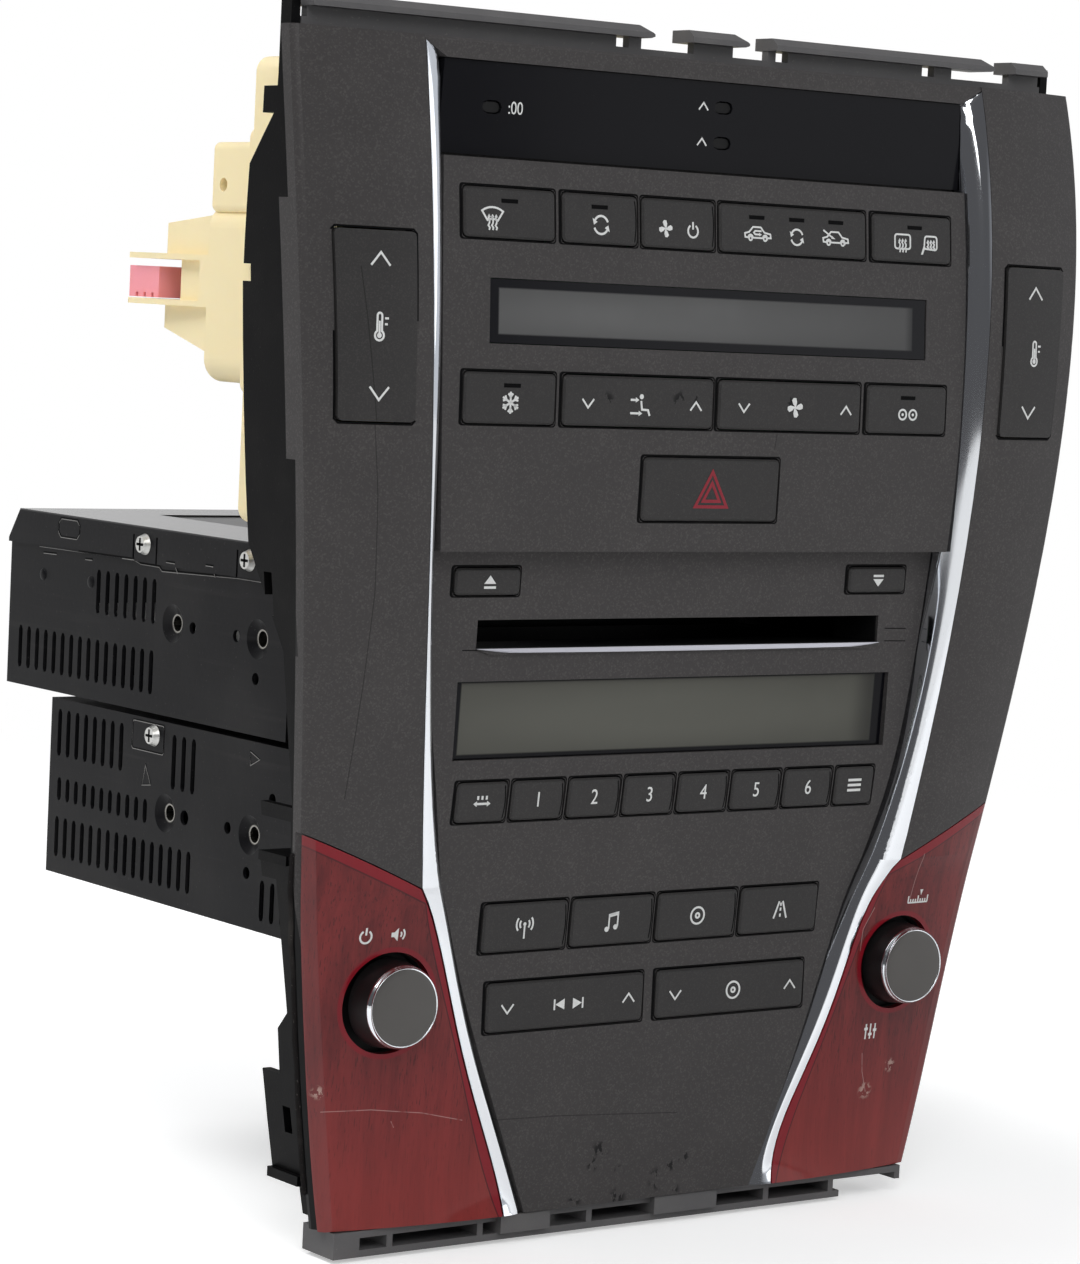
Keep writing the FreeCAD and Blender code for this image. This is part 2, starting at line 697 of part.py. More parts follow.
# Temperature rockers
temp_slab = leg(0, -key_proud, return_depth).cut(leg(-5, skin + stem_clearance, 60, True))
temp_cap = temp_slab.common(rounded_prism(temp_outline(0), key_round, -60, 60))
temp_hub = box(temp_inner + ear_gap, temp_outer - ear_gap, temp_pin.y - pin_setback - 1, temp_pin.y + hub_half - 0.8,
               temp_middle - hub_half, temp_middle + hub_half)
temp_shaft = rod(pin_radius, Vec(temp_inner - hub_reach, temp_pin.y, temp_middle), Vec(1, 0, 0),
                 temp_outer - temp_inner + 2 * hub_reach)
temp_stems = []
temp_stem_z = (temp_low + 2 * stem_inset, temp_high - 2 * stem_inset)
for z in temp_stem_z:
    swing = abs(z - temp_middle) * math.sin(math.radians(rocker_angle))
    end = climate_board_front - switch_height - swing - stem_clearance
    temp_stems.append(box(temp_pin.x - stem / 2, temp_pin.x + stem / 2, temp_pin.y - pin_setback - 1, end,
                          z - stem / 2, z + stem / 2))
    for side in (-1, 1):
        climate_switches.append(switch(side * temp_pin.x, z, climate_board_front))
temp_rocker = joined(temp_cap, [temp_hub, temp_shaft] + temp_stems)
save(temp_rocker, "temperature_rocker_right")
save(mirrored(temp_rocker), "temperature_rocker_left")


# Displays
def display(half, low, high, line, front_set, board):
    """Glass pane with its module, which rests on the board."""
    y_low = line_at(line, low) + front_set
    y_high = line_at(line, high) + front_set
    pane = wedge(-half, half, low, high, y_low, y_high, max(y_low, y_high) + glass_thickness)
    body = box(-half + module_inset, half - module_inset, min(y_low, y_high) + glass_thickness, board,
               low + module_inset, high - module_inset)
    return joined(pane, [body])


def display_window(half, low, high):
    return box(-half - edge_gap, half + edge_gap, -60, 60, low - edge_gap, high + edge_gap)


climate = climate.cut(display_window(climate_glass_half, climate_glass_low, climate_glass_high))
save(display(climate_glass_half, climate_glass_low, climate_glass_high, climate_line, 0.3, climate_board_front),
     "climate_display")
radio = radio.cut(display_window(radio_glass_half, radio_glass_low, radio_glass_high))
save(display(radio_glass_half, radio_glass_low, radio_glass_high, radio_line, radio_glass_set, radio_board_front),
     "radio_display")
save(climate.removeSplitter(), "climate_face")

# Radio face: disc tunnel, lip and nose
tunnel_rear = radio_board_front - edge_gap
tunnel = box(-slot_half - slot_wall, slot_half + slot_wall, face_depth(slot_high) + 1, tunnel_rear,
             slot_low - slot_wall, slot_high + slot_wall)
lip_front = face_depth(slot_low) - lip_proud
lip = profile_y(((-slot_half, slot_low), (-slot_half + 4, slot_low - lip_height), (slot_half - 4, slot_low - lip_height),
                 (slot_half, slot_low)), lip_front, lip_front + face_wall)
nose = box(-nose_half, nose_half, radio_rim_rear - 2, changer_front, tuner_floor, changer_top)
nose = nose.cut(box(-nose_half + nose_wall, nose_half - nose_wall, -60, 100, tuner_floor + nose_wall,
                    changer_top - nose_wall))
nose = nose.cut(box(-200, 200, tuner_front, 100, tuner_floor - 1, changer_floor))
slot_cut = box(-slot_half, slot_half, -60, 60, slot_low, slot_high)
board_half = nose_half - nose_wall - face_gap
board_low = seek_row[0] - 5
board_slot = box(-board_half + 16, board_half - 16, radio_board_front - edge_gap,
                 radio_board_front + board_thickness + edge_gap, board_low, tuner_floor + nose_wall + 1)
radio = radio.fuse([nose, tunnel, lip]).cut(slot_cut).cut(board_slot)
save(radio.removeSplitter(), "radio_face")

# Circuit boards
wide_half = temp_pin.x + switch_size
climate_board = joined(box(-83, 83, climate_board_front, climate_board_front + board_thickness, cover_low + 2, 170),
                       [box(-wide_half, wide_half, climate_board_front, climate_board_front + board_thickness,
                            temp_low, temp_high)] + climate_switches)
save(climate_board, "climate_board")
board_rear = radio_board_front + board_thickness
wing_half = knob_x + encoder_size / 2 + 2
radio_board = joined(box(-board_half, board_half, radio_board_front, board_rear, tuner_floor + nose_wall + face_gap,
                         changer_top - nose_wall - face_gap),
                     [box(-board_half + 16 + face_gap, board_half - 16 - face_gap, radio_board_front, board_rear,
                          board_low, 0),
                      box(-wing_half, wing_half, radio_board_front, board_rear, board_low, tuner_floor - face_gap)]
                     + radio_switches)
radio_board = radio_board.cut(box(-slot_half - 2, slot_half + 2, -60, 60, slot_low - 2, slot_high + 2))
encoder_front = well_floor + edge_gap
bush_front = 7.0
for side in (-1, 1):
    centre = Vec(side * knob_x, 0, knob_z)
    body = box(centre.x - encoder_size / 2, centre.x + encoder_size / 2, encoder_front, radio_board_front,
               centre.z - encoder_size / 2, centre.z + encoder_size / 2)
    bush = rod(bush_radius, centre + Vec(0, bush_front, 0), Vec(0, 1, 0), encoder_front - bush_front + 1)
    bore = rod(shaft_radius + running_fit, centre + Vec(0, bush_front - 1, 0), Vec(0, 1, 0),
               radio_board_front - bush_front + 0.5)
    radio_board = radio_board.fuse([body, bush]).cut(bore)
save(radio_board.removeSplitter(), "radio_board")

# Knobs and their shafts
shaft_front = knob_front + knob_wall + 1.2
knob_outline = [(0, knob_front - 0.5), (knob_cap_radius - 1.0, knob_front), (knob_cap_radius, knob_front + 0.7),
                (knob_radius, knob_rear), (knob_radius - knob_wall, knob_rear),
                (knob_radius - knob_wall, knob_front + 2.2), (shaft_radius + knob_wall, knob_front + 2.2),
                (shaft_radius + knob_wall, knob_rear), (shaft_radius + running_fit, knob_rear),
                (shaft_radius + running_fit, shaft_front - edge_gap), (0, shaft_front - edge_gap)]
for side, label in ((-1, "volume"), (1, "tuner")):
    centre = Vec(side * knob_x, 0, knob_z)
    points = [Vec(centre.x + r, y, centre.z) for r, y in knob_outline]
    knob = Part.Face(loop(points)).revolve(centre, Vec(0, 1, 0), 360)
    save(Part.Solid(knob) if knob.ShapeType == "Shell" else knob, label + "_knob")
    shaft = rod(shaft_radius, centre + Vec(0, shaft_front, 0), Vec(0, 1, 0),
                radio_board_front - push_travel - 0.8 - shaft_front)
    save(shaft, label + "_shaft")


# Cases
def vent_row(first_y, pitch, count, low, high):
    """Row of upright slots through the left side wall."""
    cuts = []
    for i in range(count):
        y = first_y - pitch * i
        half = vent_width / 2
        cuts.append(profile_x(((y - half, low + half), (y - half / 2, low), (y + half / 2, low), (y + half, low + half),
                               (y + half, high - half), (y + half / 2, high), (y - half / 2, high),
                               (y - half, high - half)), -case_half - 5, -case_half + case_wall + 5))
    return cuts


def through(y, z, radius):
    return rod(radius, Vec(-case_half - 5, y, z), Vec(1, 0, 0), 2 * case_half + 10)


def bolt_dimples(z):
    """Formed and threaded holes in both side walls: shapes to add, then shapes to take away."""
    adds, cuts = [], []
    for y in (bolt_front, bolt_front + bolt_spacing):
        for side in (-1, 1):
            face = Vec(side * case_half, y, z)
            inward = Vec(-side, 0, 0)
            adds.append(Part.makeCone(6.5, 3.6, 5.0, face, inward))
            cuts.append(Part.makeCone(5.2, 2.4, 1.6, face, inward))
            cuts.append(rod(bolt_radius, face + inward * -1, inward, 9.0))
    return adds, cuts


def case_box(front, rear, floor, top):
    outer = box(-case_half, case_half, front, rear, floor, top)
    return outer.cut(box(-case_half + case_wall, case_half - case_wall, front + case_wall, rear - case_wall,
                         floor + case_wall, top - case_wall))


cover_bottom = changer_top - case_wall
changer = box(-case_half, case_half, changer_front, changer_rear, changer_floor, cover_bottom)
changer = changer.cut(box(-case_half + case_wall, case_half - case_wall, changer_front + case_wall,
                          changer_rear - case_wall, changer_floor + case_wall, changer_top + 1))
chamfer = profile_x(((changer_rear - rear_chamfer_y, changer_top), (changer_rear + 1, changer_top + 5),
                     (changer_rear + 5, changer_top - rear_chamfer_z), (changer_rear, changer_top - rear_chamfer_z)),
                    -case_half - 5, case_half + 5)
adds, cuts = bolt_dimples(bolt_upper)
cuts += vent_row(142.7, 4.9, 7, 24.2, 36.2) + vent_row(185.0, 4.77, 16, 5.2, 17.0)
cuts += [through(93.0, 25.0, 1.6), through(71.4, 25.0, 1.6), through(61.4, 14.9, 1.6)]
cover_screws = ((117.4, 45.2), (65.0, 45.2))
cuts += [through(y, z, screw_shank + running_fit) for y, z in cover_screws]
throat = box(-roller_half - 2, roller_half + 2, changer_front - 1, changer_front + case_wall + 1, slot_low + 0.5,
             slot_high + 1)
changer = changer.fuse(adds).cut(cuts).cut(chamfer).cut(throat)
save(changer.removeSplitter(), "changer_case")

tuner = case_box(tuner_front, tuner_rear, tuner_floor, tuner_top)
adds, cuts = bolt_dimples(bolt_upper - bolt_pitch)
cuts += vent_row(160.9, 4.79, 8, -17.2, -4.2) + vent_row(99.8, 4.9, 3, -18.8, -4.2)
cuts += vent_row(160.0, 4.64, 11, -29.6, -23.2) + vent_row(160.5, 4.67, 16, -45.4, -34.2)
cuts += vent_row(54.0, 4.9, 3, -47.0, -36.5)
cuts += [through(93.3, -25.5, 2.0), through(71.8, -25.2, 1.6), through(61.8, -35.6, 1.6), through(50.9, -15.1, 1.6)]
tuner_screw = (110.4, -5.6)
cuts += [through(tuner_screw[0], tuner_screw[1], screw_shank + running_fit)]
tuner = tuner.fuse(adds).cut(cuts)
save(tuner.removeSplitter(), "tuner_case")

# Top cover of the changer, folded down over the side walls
outer_half = case_half + case_wall
lid = box(-outer_half, outer_half, changer_front, changer_rear, cover_flange, changer_top)
lid = lid.cut(box(-case_half, case_half, changer_front - 1, changer_rear + 1, cover_flange - 1, cover_bottom))
lid = lid.cut(chamfer)
lid = lid.cut([through(y, z, screw_shank + running_fit) for y, z in cover_screws])
notches = []
for y, _ in cover_screws:
    for edge in (y - 6.5, y + 5.5):
        for side in (-1, 1):
            x = side * (outer_half - case_wall / 2)
            notches.append(box(x - case_wall, x + case_wall, edge, edge + 0.8, cover_flange - 1, changer_top - 2.5))
groove = box(-60, 60, changer_front + 20, changer_rear - 30, changer_top - 0.4, changer_top + 1)
save(lid.cut(notches).cut(groove), "changer_cover")


# Case screws: pan heads on the side walls
def screw(y, z, side, face):
    inward = Vec(-side, 0, 0)
    head = Part.makeCone(screw_head - 0.7, screw_head, 1.6, Vec(side * (face + 1.6), y, z), inward)
    return head.fuse(rod(screw_shank, Vec(side * (face + 0.5), y, z), inward, 6.0))


screws = [screw(y, z, side, outer_half) for y, z in cover_screws for side in (-1, 1)]
screws += [screw(tuner_screw[0], tuner_screw[1], side, case_half) for side in (-1, 1)]
save(Part.makeCompound(screws), "case_screws")

# Changer deck with the feed roller's bearings, disc guide and spindle
deck_reach = case_half - case_wall - edge_gap
roller_z = disc_height - roller_radius - 0.6
ear_in = roller_half + ear_gap
deck = box(-deck_reach, deck_reach, changer_front + 4, changer_rear - 12, deck_height, deck_height + deck_sheet)
deck_adds = [box(-ear_in - 2, ear_in + 2, roller_y - 6, roller_y + 8, disc_height + 3, disc_height + 4.2),
             rod(9.0, Vec(0, 124, deck_height), Vec(0, 0, 1), 5.0), rod(3.5, Vec(0, 124, deck_height), Vec(0, 0, 1), 8.0)]
for side in (-1, 1):
    inner_x = side * ear_in
    outer_x = side * (ear_in + 2)
    deck_adds.append(box(min(inner_x, outer_x), max(inner_x, outer_x), roller_y - 6, roller_y + 8, deck_height,
                         disc_height + 4.2))
    for y in (bolt_front, bolt_front + bolt_spacing):
        notch_x = side * (case_half - case_wall)
        deck = deck.cut(box(notch_x - 4.6, notch_x + 4.6, y - 6, y + 6, deck_height - 1, deck_height + 5))
deck = joined(deck, deck_adds)
deck = deck.cut(rod(roller_shaft + running_fit, Vec(-ear_in - 5, roller_y, roller_z), Vec(1, 0, 0), 2 * ear_in + 10))
save(deck, "changer_deck")
roller = joined(rod(roller_radius, Vec(-roller_half, roller_y, roller_z), Vec(1, 0, 0), 2 * roller_half),
                [rod(roller_shaft, Vec(-roller_shaft_half, roller_y, roller_z), Vec(1, 0, 0), 2 * roller_shaft_half)])
save(roller, "feed_roller")


# Side rails: a wall that follows the cheek's edge, cut to the outline seen from the side
def rail_band(offset, thickness):
    """Wall inside the cheek's outer edge, from the top to the bottom of the panel."""
    solids = []
    for heights, line in ((upper_heights, outer_upper), (lower_heights, outer_lower)):
        wires = []
        for height, (x, _) in zip(heights, line):
            wires.append(loop([Vec(x - offset - thickness, -60, height), Vec(x - offset, -60, height),
                               Vec(x - offset, 100, height), Vec(x - offset - thickness, 100, height)]))
        solids.append(Part.makeLoft(wires, True, False))
    return solids[0].fuse(solids[1])


def front_of_rail(height):
    """Depth of the rail's front edge, which lies behind the seat of the wood at the bottom."""
    seat = wood_thickness + skin + 2 * rail_gap
    return outer_at(height)[1] + (rail_front if height > rail_step else seat)


rail_back = ((163.6, 9.6), (163.6, 15.5), (157.2, 15.5), (157.2, 10.5), (145.0, 20.5), (128.0, 22.0), (121.0, 22.6),
             (121.0, 19.4), (116.8, 19.4), (116.8, 23.0), (68.0, 24.0), (53.0, 24.0), (27.6, 10.4), (-11.0, 10.4),
             (-11.0, 24.8), (-14.6, 24.8), (-14.6, 11.5), (-23.6, 12.5), (-23.6, 26.6), (-30.2, 26.6), (-30.2, 20.0),
             (-64.0, 20.0), (-68.7, 25.0), (-80.6, 26.0), (-80.6, 34.0), (-108.5, 34.0), (-108.5, 22.0),
             (-116.0, 22.0))
rail_start = 170.0
rail_step = wood_top_outer + 5.0
rail_end = rail_back[-1][0]
front_heights = [rail_start + (rail_step + 0.5 - rail_start) * i / 5 for i in range(6)]
front_heights += [rail_step + (rail_end - rail_step) * i / 4 for i in range(5)]
silhouette = [(9.6, rail_start)] + [(y, z) for z, y in rail_back]
silhouette += [(front_of_rail(z), z) for z in reversed(front_heights)]
rail_offset = skin + rail_gap
rail = rail_band(rail_offset, rail_wall).common(profile_x(silhouette, 0, 200))
top_x = outer_upper[0][0] - rail_offset
post = box(top_x - rail_wall, top_x, clip_front, clip_front + 4.6, rail_start - 3, hook_top - 1)
tab_reach = (cover_half, outer_at(100)[0] - rail_offset - 0.5)
tabs = [box(tab_reach[0], tab_reach[1], 14.0, 16.5, 96.0, 104.0), box(tab_reach[0], tab_reach[1], 14.0, 16.5, 132.0, 140.0)]
low_x = outer_at(-94)[0] - rail_offset
clip_box = box(low_x - 9, low_x - 0.5, 20.0, 34.0, -108.5, -106.0)
rib_x = outer_at(-12)[0] - rail_offset
ribs = [box(rib_x - 8, rib_x - 0.3, 11.5, 24.8, -14.6, -12.6), box(rib_x - 10, rib_x - 1.0, 14.0, 26.6, -26.0, -23.6)]
rail = joined(rail, [post] + tabs + [clip_box] + ribs)
rail = rail.cut([box(0, 200, 22.5, 26.0, -95.6, -88.8), box(0, 200, 14.0, 17.5, 36.0, 46.5)])
save(rail, "side_rail_right")
save(mirrored(rail), "side_rail_left")

# Top clip rail: a strip behind the bezel with hooks above it
top_strip = box(-top_x + rail_wall + face_gap, top_x - rail_wall - face_gap, clip_front, clip_front + clip_wall,
                panel_top - 7, panel_top + 2.2)


def hook(left, right, pointed):
    """Hook bar with a bevelled front top edge; its right end runs to a point where the bar is long."""
    bar = profile_x(((2.0, hook_low), (2.0, hook_low + 1.4), (4.2, hook_top), (11.0, hook_top), (11.0, hook_low)),
                    left, right)
    if pointed:
        cut = profile_y(((right - 4, hook_low - 1), (right + 1, hook_low - 1), (right + 1, hook_low + 0.8)), -20, 40)
        top = profile_y(((right - 5, hook_top + 1), (right + 1, hook_top + 1), (right + 1, hook_low + 1.0),
                         (right, hook_low + 1.0)), -20, 40)
        bar = bar.cut([cut, top])
    return bar


def web(left, right):
    return box(left, right, clip_front, clip_front + clip_wall, panel_top - 2, hook_low + 0.5)


top_rail = joined(top_strip, [hook(-119.5, -16.5, True), hook(-4.0, 14.5, True), hook(23.6, 100.5, True),
                              hook(108.1, 120.0, False), web(-119.0, -26.0), web(-22.0, -18.0), web(-1.0, 12.0),
                              web(23.8, 26.4), web(30.5, 77.4), web(81.7, 88.0), web(109.0, 119.8)])
save(top_rail, "clip_rail_top")

# Bottom clip rail: an open channel with ribs and windows
rail_top = panel_bottom - face_gap
channel_rear = 22.0
channel_wall = 1.8
foot_half = outer_lower[-1][0] - 3
channel = box(-foot_half, foot_half, 8.0, channel_rear, foot_bottom, rail_top)
channel = channel.cut(box(-foot_half + channel_wall, foot_half - channel_wall, 7.0, channel_rear - channel_wall,
                          foot_bottom + channel_wall, rail_top - channel_wall))
rib_places = (-88.0, -78.0, -50.0, -44.0, -28.5, -15.0, 6.0, 27.0, 45.0, 68.0)
rib_list = [box(x, x + channel_wall, 8.0, channel_rear, foot_bottom, rail_top) for x in rib_places]
fills = [box(-44.0, -28.5, 6.0, 8.0 + channel_wall, foot_bottom + 2, rail_top),
         box(6.0, 27.0, 6.0, 8.0 + channel_wall, foot_bottom + 2, rail_top),
         box(-foot_half, -88.0, 8.0, 8.0 + channel_wall, foot_bottom, rail_top)]
windows = [box(x0, x1, 0, 60, foot_bottom + channel_wall, rail_top - channel_wall)
           for x0, x1 in ((-88.0 + channel_wall, -78.0), (-28.5 + channel_wall, -15.0))]
bottom_rail = joined(channel, rib_list + fills).cut(windows)
bottom_rail = bottom_rail.cut(box(72.0, 200, 0, 60, foot_bottom - 1, foot_bottom + 3))
save(bottom_rail.removeSplitter(), "clip_rail_bottom")

# Climate rear cover: a tray with a stepped block, a funnel and a connector shroud
cover_front = climate_board_front + board_thickness
tray_box = box(-cover_half, cover_half, cover_front, cover_rear, cover_low, cover_high)
tray_box = tray_box.makeFillet(4.0, [e for e in tray_box.Edges if abs(e.tangentAt(e.FirstParameter).y) > 0.99])
tray_hollow = box(-cover_half + cover_wall, cover_half - cover_wall, cover_front - 1, cover_rear - cover_wall,
                  cover_low + cover_wall, cover_high - cover_wall)
block_left = -98.0
block_right = 30.0


def raised(x0, x1, y1, z0, z1, radius):
    solid = box(x0, x1, cover_rear - 1, y1, z0, z1)
    return solid.makeFillet(radius, [e for e in solid.Edges if abs(e.tangentAt(e.FirstParameter).y) > 0.99])


pads = [raised(block_left - 2, block_right + 12, 59.0, 88.0, 155.7, 3.0),
        raised(block_left, block_right, 79.0, 134.0, 152.0, 2.0),
        raised(block_left, block_right - 20, 80.0, 90.5, 136.0, 6.0),
        raised(50.0, 90.0, 60.0, 70.0, 150.0, 3.0)]
funnel_low = [Vec(block_left + 2, 79, 97.0), Vec(block_left + 34, 79, 97.0), Vec(block_left + 34, 79, 133.5),
              Vec(block_left + 2, 79, 133.5)]
funnel_high = [Vec(block_left + 4, 107, 103.5), Vec(block_left + 30, 107, 103.5), Vec(block_left + 30, 107, 131.0),
               Vec(block_left + 4, 107, 131.0)]
funnel = Part.makeLoft([loop(funnel_low), loop(funnel_high)], True, True)
shroud_left = block_left
shroud_right = block_left + 26
shroud_rear = 119.5
shroud_low = 109.5
shroud_high = 123.0
shroud = box(shroud_left, shroud_right, 79.0, shroud_rear, shroud_low, shroud_high)
socket_front = 97.0
socket = box(shroud_left + socket_wall, shroud_right - socket_wall, socket_front, shroud_rear + 1,
             shroud_low + socket_wall, shroud_high - socket_wall)
side_opening = box(shroud_left - 1, shroud_left + socket_wall + 1, 84.0, shroud_rear + 1, shroud_low + socket_wall,
                   shroud_high - socket_wall)
cover_ribs = [box(-cover_half + 12, cover_half - 12, cover_rear - 1, cover_rear + 3, z, z + 1.6) for z in (62.0, 160.0)]
lug = box(-outer_at(119)[0] + rail_offset + rail_wall - 1.2, -cover_half + 1, 19.9, 22.4, 117.4, 120.4)
screw_hole = rod(1.8, Vec(block_left - 1, 74.0, 141.0), Vec(1, 0, 0), 9)
rear_cover = joined(tray_box, pads + [funnel, shroud, lug, mirrored(lug)] + cover_ribs)
rear_cover = rear_cover.cut([tray_hollow, socket, screw_hole])
core = [box(block_left + 2 * cover_wall, block_right - 20 - 2 * cover_wall, cover_rear - 10, 78.0, 93.0, 133.0)]
rear_cover = rear_cover.cut(core).cut(side_opening)
save(rear_cover.removeSplitter(), "climate_rear_cover")
lock_low = shroud_low + socket_wall + face_gap
lock = box(shroud_left + socket_wall + face_gap, shroud_right - socket_wall - face_gap, shroud_rear - 12.5,
           shroud_rear + 2.5, lock_low, lock_low + 8.2)
lock = lock.cut([box(-200, 0, y, y + 1.2, shroud_low, shroud_low + 3) for y in (109.5, 113.5, 117.5)])
save(lock, "connector_lock")

# Rear sockets of the tuner
socket_low = -40.0
socket_high = -14.0
socket_block = box(-58.0, 46.0, tuner_rear, tuner_rear + socket_depth, socket_low, socket_high)
cavities = []
for left, right in ((-58.0, -26.0), (-26.0, 14.0), (14.0, 46.0)):
    cavities.append(box(left + socket_wall, right - socket_wall, tuner_rear + socket_wall, tuner_rear + socket_depth + 1,
                        socket_low + socket_wall, socket_high - socket_wall))
aerial = rod(6.0, Vec(66, tuner_rear, -27), Vec(0, 1, 0), 14.0)
sockets = socket_block.cut(cavities)
foot = box(45.0, 76.0, tuner_rear, tuner_rear + 2.0, -36.0, -18.0)
sockets = joined(sockets, [foot, aerial]).cut(rod(4.5, Vec(66, tuner_rear + 2.0, -27), Vec(0, 1, 0), 20.0))
save(sockets.removeSplitter(), "rear_sockets")
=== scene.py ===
"""Dresses the car stereo head unit: finishes, printed signs, small fasteners, lights and camera.

Everything is in metres in the part's own frame: +X to the right of someone facing the panel, +Y into the
dashboard, +Z up.
"""

import json
import logging
import math
from dataclasses import dataclass, field
from enum import Enum
from typing import Dict, Iterable, List, Optional, Sequence, Tuple, Union

import bmesh
import bpy
from mathutils import Matrix, Vector
from mathutils.bvhtree import BVHTree

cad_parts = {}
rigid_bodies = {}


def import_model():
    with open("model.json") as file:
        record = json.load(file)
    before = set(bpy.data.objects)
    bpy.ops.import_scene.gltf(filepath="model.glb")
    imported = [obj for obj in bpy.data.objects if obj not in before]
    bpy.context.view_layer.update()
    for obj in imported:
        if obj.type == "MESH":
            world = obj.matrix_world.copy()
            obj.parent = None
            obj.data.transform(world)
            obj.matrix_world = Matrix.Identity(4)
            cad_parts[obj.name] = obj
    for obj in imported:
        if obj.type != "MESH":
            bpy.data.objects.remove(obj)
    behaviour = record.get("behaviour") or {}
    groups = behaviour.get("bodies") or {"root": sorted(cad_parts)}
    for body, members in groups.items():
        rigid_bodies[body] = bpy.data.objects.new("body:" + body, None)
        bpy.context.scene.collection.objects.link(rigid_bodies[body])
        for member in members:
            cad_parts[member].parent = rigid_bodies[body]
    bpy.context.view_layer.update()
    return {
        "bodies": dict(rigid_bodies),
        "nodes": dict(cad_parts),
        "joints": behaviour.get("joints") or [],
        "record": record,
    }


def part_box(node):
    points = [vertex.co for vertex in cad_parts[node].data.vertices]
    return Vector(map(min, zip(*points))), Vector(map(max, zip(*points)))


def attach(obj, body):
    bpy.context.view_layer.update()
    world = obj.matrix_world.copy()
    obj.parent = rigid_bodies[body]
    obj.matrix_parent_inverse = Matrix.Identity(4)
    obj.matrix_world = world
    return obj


log = logging.getLogger("head_unit")

MM = 0.001
FIGURE_SIZE = 1.38  # font size for figures 1 high
FIGURE_WIDTH = 0.86  # how far the figures are narrowed
Point = Tuple[float, float]
Loop = List[Point]
Colour = Tuple[float, float, float]
WHITE: Colour = (1.0, 1.0, 1.0)
BEFORE = 0.2  # how far in front of the panel a look at it starts
BESIDE = 0.3  # how far beside the middle a look at a side starts


def srgb(red: float, green: float, blue: float) -> Colour:
    """Turns a colour as seen on a screen into the shader's linear values.

    Args:
        red: Red, from 0 to 255.
        green: Green, from 0 to 255.
        blue: Blue, from 0 to 255.

    Returns:
        The three linear values.
    """
    def linear(value: float) -> float:
        """One channel."""
        share = value / 255.0
        return share / 12.92 if share <= 0.04045 else ((share + 0.055) / 1.055) ** 2.4

    return linear(red), linear(green), linear(blue)


# Shader building


class Wire:
    """A value in a shader tree, with arithmetic that adds Math nodes."""

    def __init__(self, tree: "Tree", socket: bpy.types.NodeSocket) -> None:
        """Wraps one output socket."""
        self.tree = tree
        self.socket = socket

    def _math(self, operation: str, first: "Value", second: "Value" = 0.0, clamp: bool = False) -> "Wire":
        """Adds one Math node."""
        made = self.tree.node("ShaderNodeMath", {"operation": operation, "use_clamp": clamp}, {0: first, 1: second})
        return Wire(self.tree, made.outputs[0])

    def __add__(self, other: "Value") -> "Wire":
        """Sum."""
        return self._math("ADD", self, other)

    __radd__ = __add__

    def __sub__(self, other: "Value") -> "Wire":
        """Difference."""
        return self._math("SUBTRACT", self, other)

    def __rsub__(self, other: "Value") -> "Wire":
        """Difference, the other way round."""
        return self._math("SUBTRACT", other, self)

    def __mul__(self, other: "Value") -> "Wire":
        """Product."""
        return self._math("MULTIPLY", self, other)

    __rmul__ = __mul__

    def __truediv__(self, other: "Value") -> "Wire":
        """Quotient."""
        return self._math("DIVIDE", self, other)

    def __gt__(self, other: "Value") -> "Wire":
        """1 where this is greater."""
        return self._math("GREATER_THAN", self, other)

    def __lt__(self, other: "Value") -> "Wire":
        """1 where this is less."""
        return self._math("LESS_THAN", self, other)

    def size(self) -> "Wire":
        """Absolute value."""
        return self._math("ABSOLUTE", self)

    def most(self, other: "Value") -> "Wire":
        """The greater of two."""
        return self._math("MAXIMUM", self, other)

    def least(self, other: "Value") -> "Wire":
        """The lesser of two."""
        return self._math("MINIMUM", self, other)

    def root(self) -> "Wire":
        """Square root."""
        return self._math("SQRT", self)

    def clamped(self) -> "Wire":
        """Kept between 0 and 1."""
        return self._math("ADD", self, 0.0, True)

    def rise(self, low: float, high: float) -> "Wire":
        """Smooth step from 0 at low to 1 at high.

        Args:
            low: Value where the step starts.
            high: Value where it ends.

        Returns:
            The step.
        """
        made = self.tree.node("ShaderNodeMapRange", {"interpolation_type": "SMOOTHSTEP"},
                              {0: self, 1: low, 2: high, 3: 0.0, 4: 1.0})
        return Wire(self.tree, made.outputs[0])


Value = Union[Wire, float]


def add_node(group: bpy.types.NodeTree, kind: str, settings: Dict[str, object],
             inputs: Dict[Union[int, str], object]) -> bpy.types.Node:
    """Adds a node to a shader tree or a geometry tree.

    Args:
        group: The tree.
        kind: The node's type.
        settings: Properties that are set first, such as a Math node's operation.
        inputs: Values, wires or sockets for its inputs, by index or name.

    Returns:
        The new node.
    """
    made = group.nodes.new(kind)
    for key, value in settings.items():
        setattr(made, key, value)
    for key, value in inputs.items():
        socket = made.inputs[key]
        if isinstance(value, Wire):
            value = value.socket
        if isinstance(value, bpy.types.NodeSocket):
            group.links.new(value, socket)
        elif isinstance(value, tuple) and len(value) == 3 and socket.type == "RGBA":
            socket.default_value = (*value, 1.0)
        else:
            socket.default_value = value
    return made


